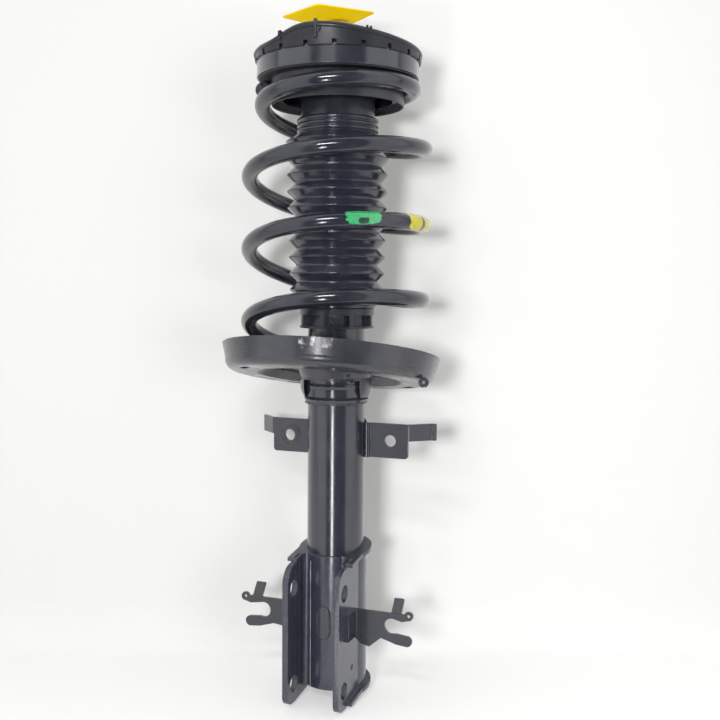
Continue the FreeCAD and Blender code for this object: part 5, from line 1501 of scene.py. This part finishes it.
@dataclass
class Studio:
    """The pale sweep, the lamps, the surroundings and the camera."""

    middle_z: float = 0.30
    distance: float = 0.895
    height: float = 0.349
    azimuth: float = 22.0
    aside: float = -1.35
    pitch: float = -4.12
    roll: float = 0.42
    lens: float = 50.0
    sensor: float = 36.0
    floor_z: float = -0.0196
    floor_reach: float = 0.30
    wall_reach: float = 0.122
    wall_top: float = 4.0
    sweep_r: float = 0.045
    sweep_steps: int = 12
    straight: float = 0.01
    width: float = 5.0
    # Painted shade: the sheet is painted darker at the left, sheet_low, and lighter at the right, sheet_high.
    sheet_low: Colour = (0.484, 0.482, 0.474)
    sheet_high: Colour = (0.538, 0.537, 0.532)
    sheet_span: tuple[float, float] = (-0.30, 0.30)
    sheet_cloud: float = 2.5
    sheet_drift: float = 0.16
    wall_glow: float = 0.01
    floor_glow: float = 0.325
    lamp_rise: float = 0.13
    dark_half_width: tuple[float, float] = (44.0, 33.0)
    dark_rise: tuple[float, float] = (0.1, 0.5)
    dark_level: float = 0.10
    side_level: float = 1.15
    lamps: tuple[Lamp, ...] = (
        Lamp("key", 10.5, 4.3, 1.3, (0.15, 0.15), 15.6, False),
        Lamp("fill", -27.0, 3.0, 1.6, (0.60, 0.60), 9.5, False),
        Lamp("glint_low", 14.5, -15.0, 1.5, (0.13, 0.42), 4.2, True),
        Lamp("glint_high", 14.5, 30.0, 1.5, (0.50, 0.12), 9.0, True))

    def front(self) -> Vector:
        """The level direction from the strut towards the camera."""
        turn = math.radians(self.azimuth)
        return Vector((math.sin(turn), -math.cos(turn), 0.0))

    def camera(self) -> None:
        """Stand the camera where the photograph was taken from."""
        ahead = -self.front()
        ahead.rotate(Matrix.Rotation(math.radians(self.aside), 3, "Z"))
        pitch = math.radians(self.pitch)
        ahead = (ahead * math.cos(pitch) + UP * math.sin(pitch)).normalized()
        right = ahead.cross(UP).normalized()
        basis = Matrix((right, right.cross(ahead), -ahead)).transposed()
        lens = bpy.data.cameras.new("camera")
        lens.lens = self.lens
        lens.sensor_width = self.sensor
        camera = new_object("camera", lens)
        camera.matrix_world = (basis @ Matrix.Rotation(math.radians(self.roll), 3, "Z")).to_4x4()
        camera.location = STRUT_AXIS + self.front() * self.distance + UP * self.height
        bpy.context.scene.camera = camera

    def sweep(self) -> None:
        """Build the pale floor that curves up into the wall behind."""
        behind = -self.front()
        side = UP.cross(behind)
        foot = self.wall_reach - self.sweep_r
        profile = [(-self.floor_reach, 0.0), (foot - self.straight, 0.0), (foot, 0.0)]
        for angle in spread(0.0, math.pi / 2.0, self.sweep_steps)[1:]:
            profile.append((foot + self.sweep_r * math.sin(angle), self.sweep_r * (1.0 - math.cos(angle))))
        profile += [(self.wall_reach, self.sweep_r + self.straight), (self.wall_reach, self.wall_top)]
        vertices = [STRUT_AXIS + behind * reach + side * across + UP * (self.floor_z + rise)
                    for reach, rise in profile for across in (-self.width, self.width)]
        piece = mesh_object("sweep", vertices, skin(len(profile), 2, closed=False))
        for polygon in piece.data.polygons:
            polygon.use_smooth = True
        piece.data.materials.append(self.sweep_material())
        piece.visible_shadow = False

    def sweep_material(self) -> bpy.types.Material:
        """Build the pale matt surface, clear from behind.

        Camera and glossy rays see a little light of its own, most on the level floor and least on the wall.

        Returns:
            The material.
        """
        made = bpy.data.materials.new("pale_sweep")
        made.use_nodes = True
        made.node_tree.nodes.clear()
        nodes = Nodes(made.node_tree)
        place = nodes.add("ShaderNodeTexCoord").outputs["Object"]
        surface = nodes.add("ShaderNodeNewGeometry").outputs
        across = nodes.vector("DOT_PRODUCT", place, UP.cross(self.front()))
        cloud = nodes.math("SUBTRACT", nodes.cloud(place, self.sheet_cloud, 2.0), 0.5)
        drift = nodes.math("MULTIPLY", cloud, self.sheet_drift)
        # Painted shade across the sheet, darker towards the left, with a faint random drift.
        painted_side_shade = nodes.blend(nodes.span(nodes.math("ADD", across, drift), *self.sheet_span),
                           (*self.sheet_low, 1.0), (*self.sheet_high, 1.0))
        pale = nodes.add("ShaderNodeBsdfDiffuse", {"Color": painted_side_shade})
        flat_glow = self.floor_glow + self.lamp_rise
        upright = nodes.vector("DOT_PRODUCT", surface["Normal"], self.front())
        level = nodes.parts(surface["Normal"])["Z"]
        lift = nodes.math("SUBTRACT", flat_glow, nodes.math("MULTIPLY", upright, flat_glow - self.wall_glow))
        lift = nodes.math("SUBTRACT", lift, nodes.math("MULTIPLY", level, self.lamp_rise))
        path = nodes.add("ShaderNodeLightPath").outputs
        seen = nodes.math("MAXIMUM", path["Is Camera Ray"], path["Is Glossy Ray"])
        glow = nodes.add("ShaderNodeEmission", {"Strength": nodes.math("MULTIPLY", seen, lift)})
        both = nodes.add("ShaderNodeAddShader", {0: pale.outputs[0], 1: glow.outputs[0]})
        clear = nodes.add("ShaderNodeBsdfTransparent")
        side = nodes.add("ShaderNodeMixShader", {0: surface["Backfacing"], 1: both.outputs[0], 2: clear.outputs[0]})
        nodes.add("ShaderNodeOutputMaterial", {"Surface": side.outputs[0]})
        return made

    def surroundings(self) -> None:
        """White all round, and dim in front, where the camera's side of the studio is."""
        world = bpy.data.worlds.new("studio")
        world.use_nodes = True
        world.node_tree.nodes.clear()
        nodes = Nodes(world.node_tree)
        place = nodes.add("ShaderNodeTexCoord").outputs["Generated"]
        facing = nodes.vector("DOT_PRODUCT", place, self.front())
        reach = nodes.vector("LENGTH", nodes.vector("MULTIPLY", place, (1.0, 1.0, 0.0)))
        ahead = nodes.math("DIVIDE", facing, nodes.math("MAXIMUM", reach, 0.001))
        wide, narrow = (math.cos(math.radians(angle)) for angle in self.dark_half_width)
        dark = nodes.math("MULTIPLY", nodes.span(ahead, wide, narrow), nodes.span(reach, *self.dark_rise))
        dim = nodes.span(dark, 0.0, 1.0, self.side_level, self.dark_level)
        path = nodes.add("ShaderNodeLightPath").outputs
        seen = nodes.math("MAXIMUM", path["Is Camera Ray"], path["Is Transmission Ray"])
        light = nodes.add("ShaderNodeBackground", {"Color": (1.0, 1.0, 1.0, 1.0),
                                                   "Strength": nodes.math("MAXIMUM", dim, seen)})
        nodes.add("ShaderNodeOutputWorld", {"Surface": light.outputs[0]})
        bpy.context.scene.world = world

    def hang(self, lamp: Lamp) -> None:
        """Hang one lamp.

        Args:
            lamp: What it is like and where it hangs.
        """
        light = bpy.data.lights.new(lamp.name, "AREA")
        light.shape = "RECTANGLE"
        light.size, light.size_y = lamp.size
        light.energy = lamp.power
        middle = STRUT_AXIS + UP * self.middle_z
        way = self.front()
        way.rotate(Matrix.Rotation(math.radians(-lamp.azimuth), 3, "Z"))
        turn = math.radians(lamp.elevation)
        hung = new_object(lamp.name, light)
        hung.location = middle + (way * math.cos(turn) + UP * math.sin(turn)) * lamp.distance
        hung.rotation_euler = (middle - hung.location).to_track_quat("-Z", "Y").to_euler()
        hung.visible_glossy = lamp.mirrored

    def build(self) -> None:
        """Set up everything that isn't part of the strut."""
        bpy.context.scene.view_settings.view_transform = "Standard"
        self.camera()
        self.sweep()
        self.surroundings()
        for lamp in self.lamps:
            self.hang(lamp)


def dress_solids(frame: dict, wardrobe: Wardrobe) -> None:
    """Give each carried-over solid the finish of its slot in the record.

    Args:
        wardrobe: Where the materials come from.
    """
    for entry in frame["record"]["subparts"]:
        finish = FINISHES.get(NODE_FINISHES.get(entry["node"], entry["material_slot"]))
        if finish is not None:
            wardrobe.dress_node(frame["nodes"][entry["node"]], finish)


def main() -> None:
    """Build the strut's looks round the fixed solids, in order."""
    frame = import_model()
    wardrobe = Wardrobe()
    dress_solids(frame, wardrobe)
    LOG.info("dressed %d solids", len(frame["nodes"]))
    Studio().build()
    for kind in (CoilSpring, DustBoot, SoftParts, BearingCap, SmallFeatures, TopHardware, WeldRuns):
        for piece in kind(wardrobe).build():
            LOG.info("built %s", piece.name)


if __name__ == "__main__":
    logging.basicConfig(level=logging.INFO)
    main()
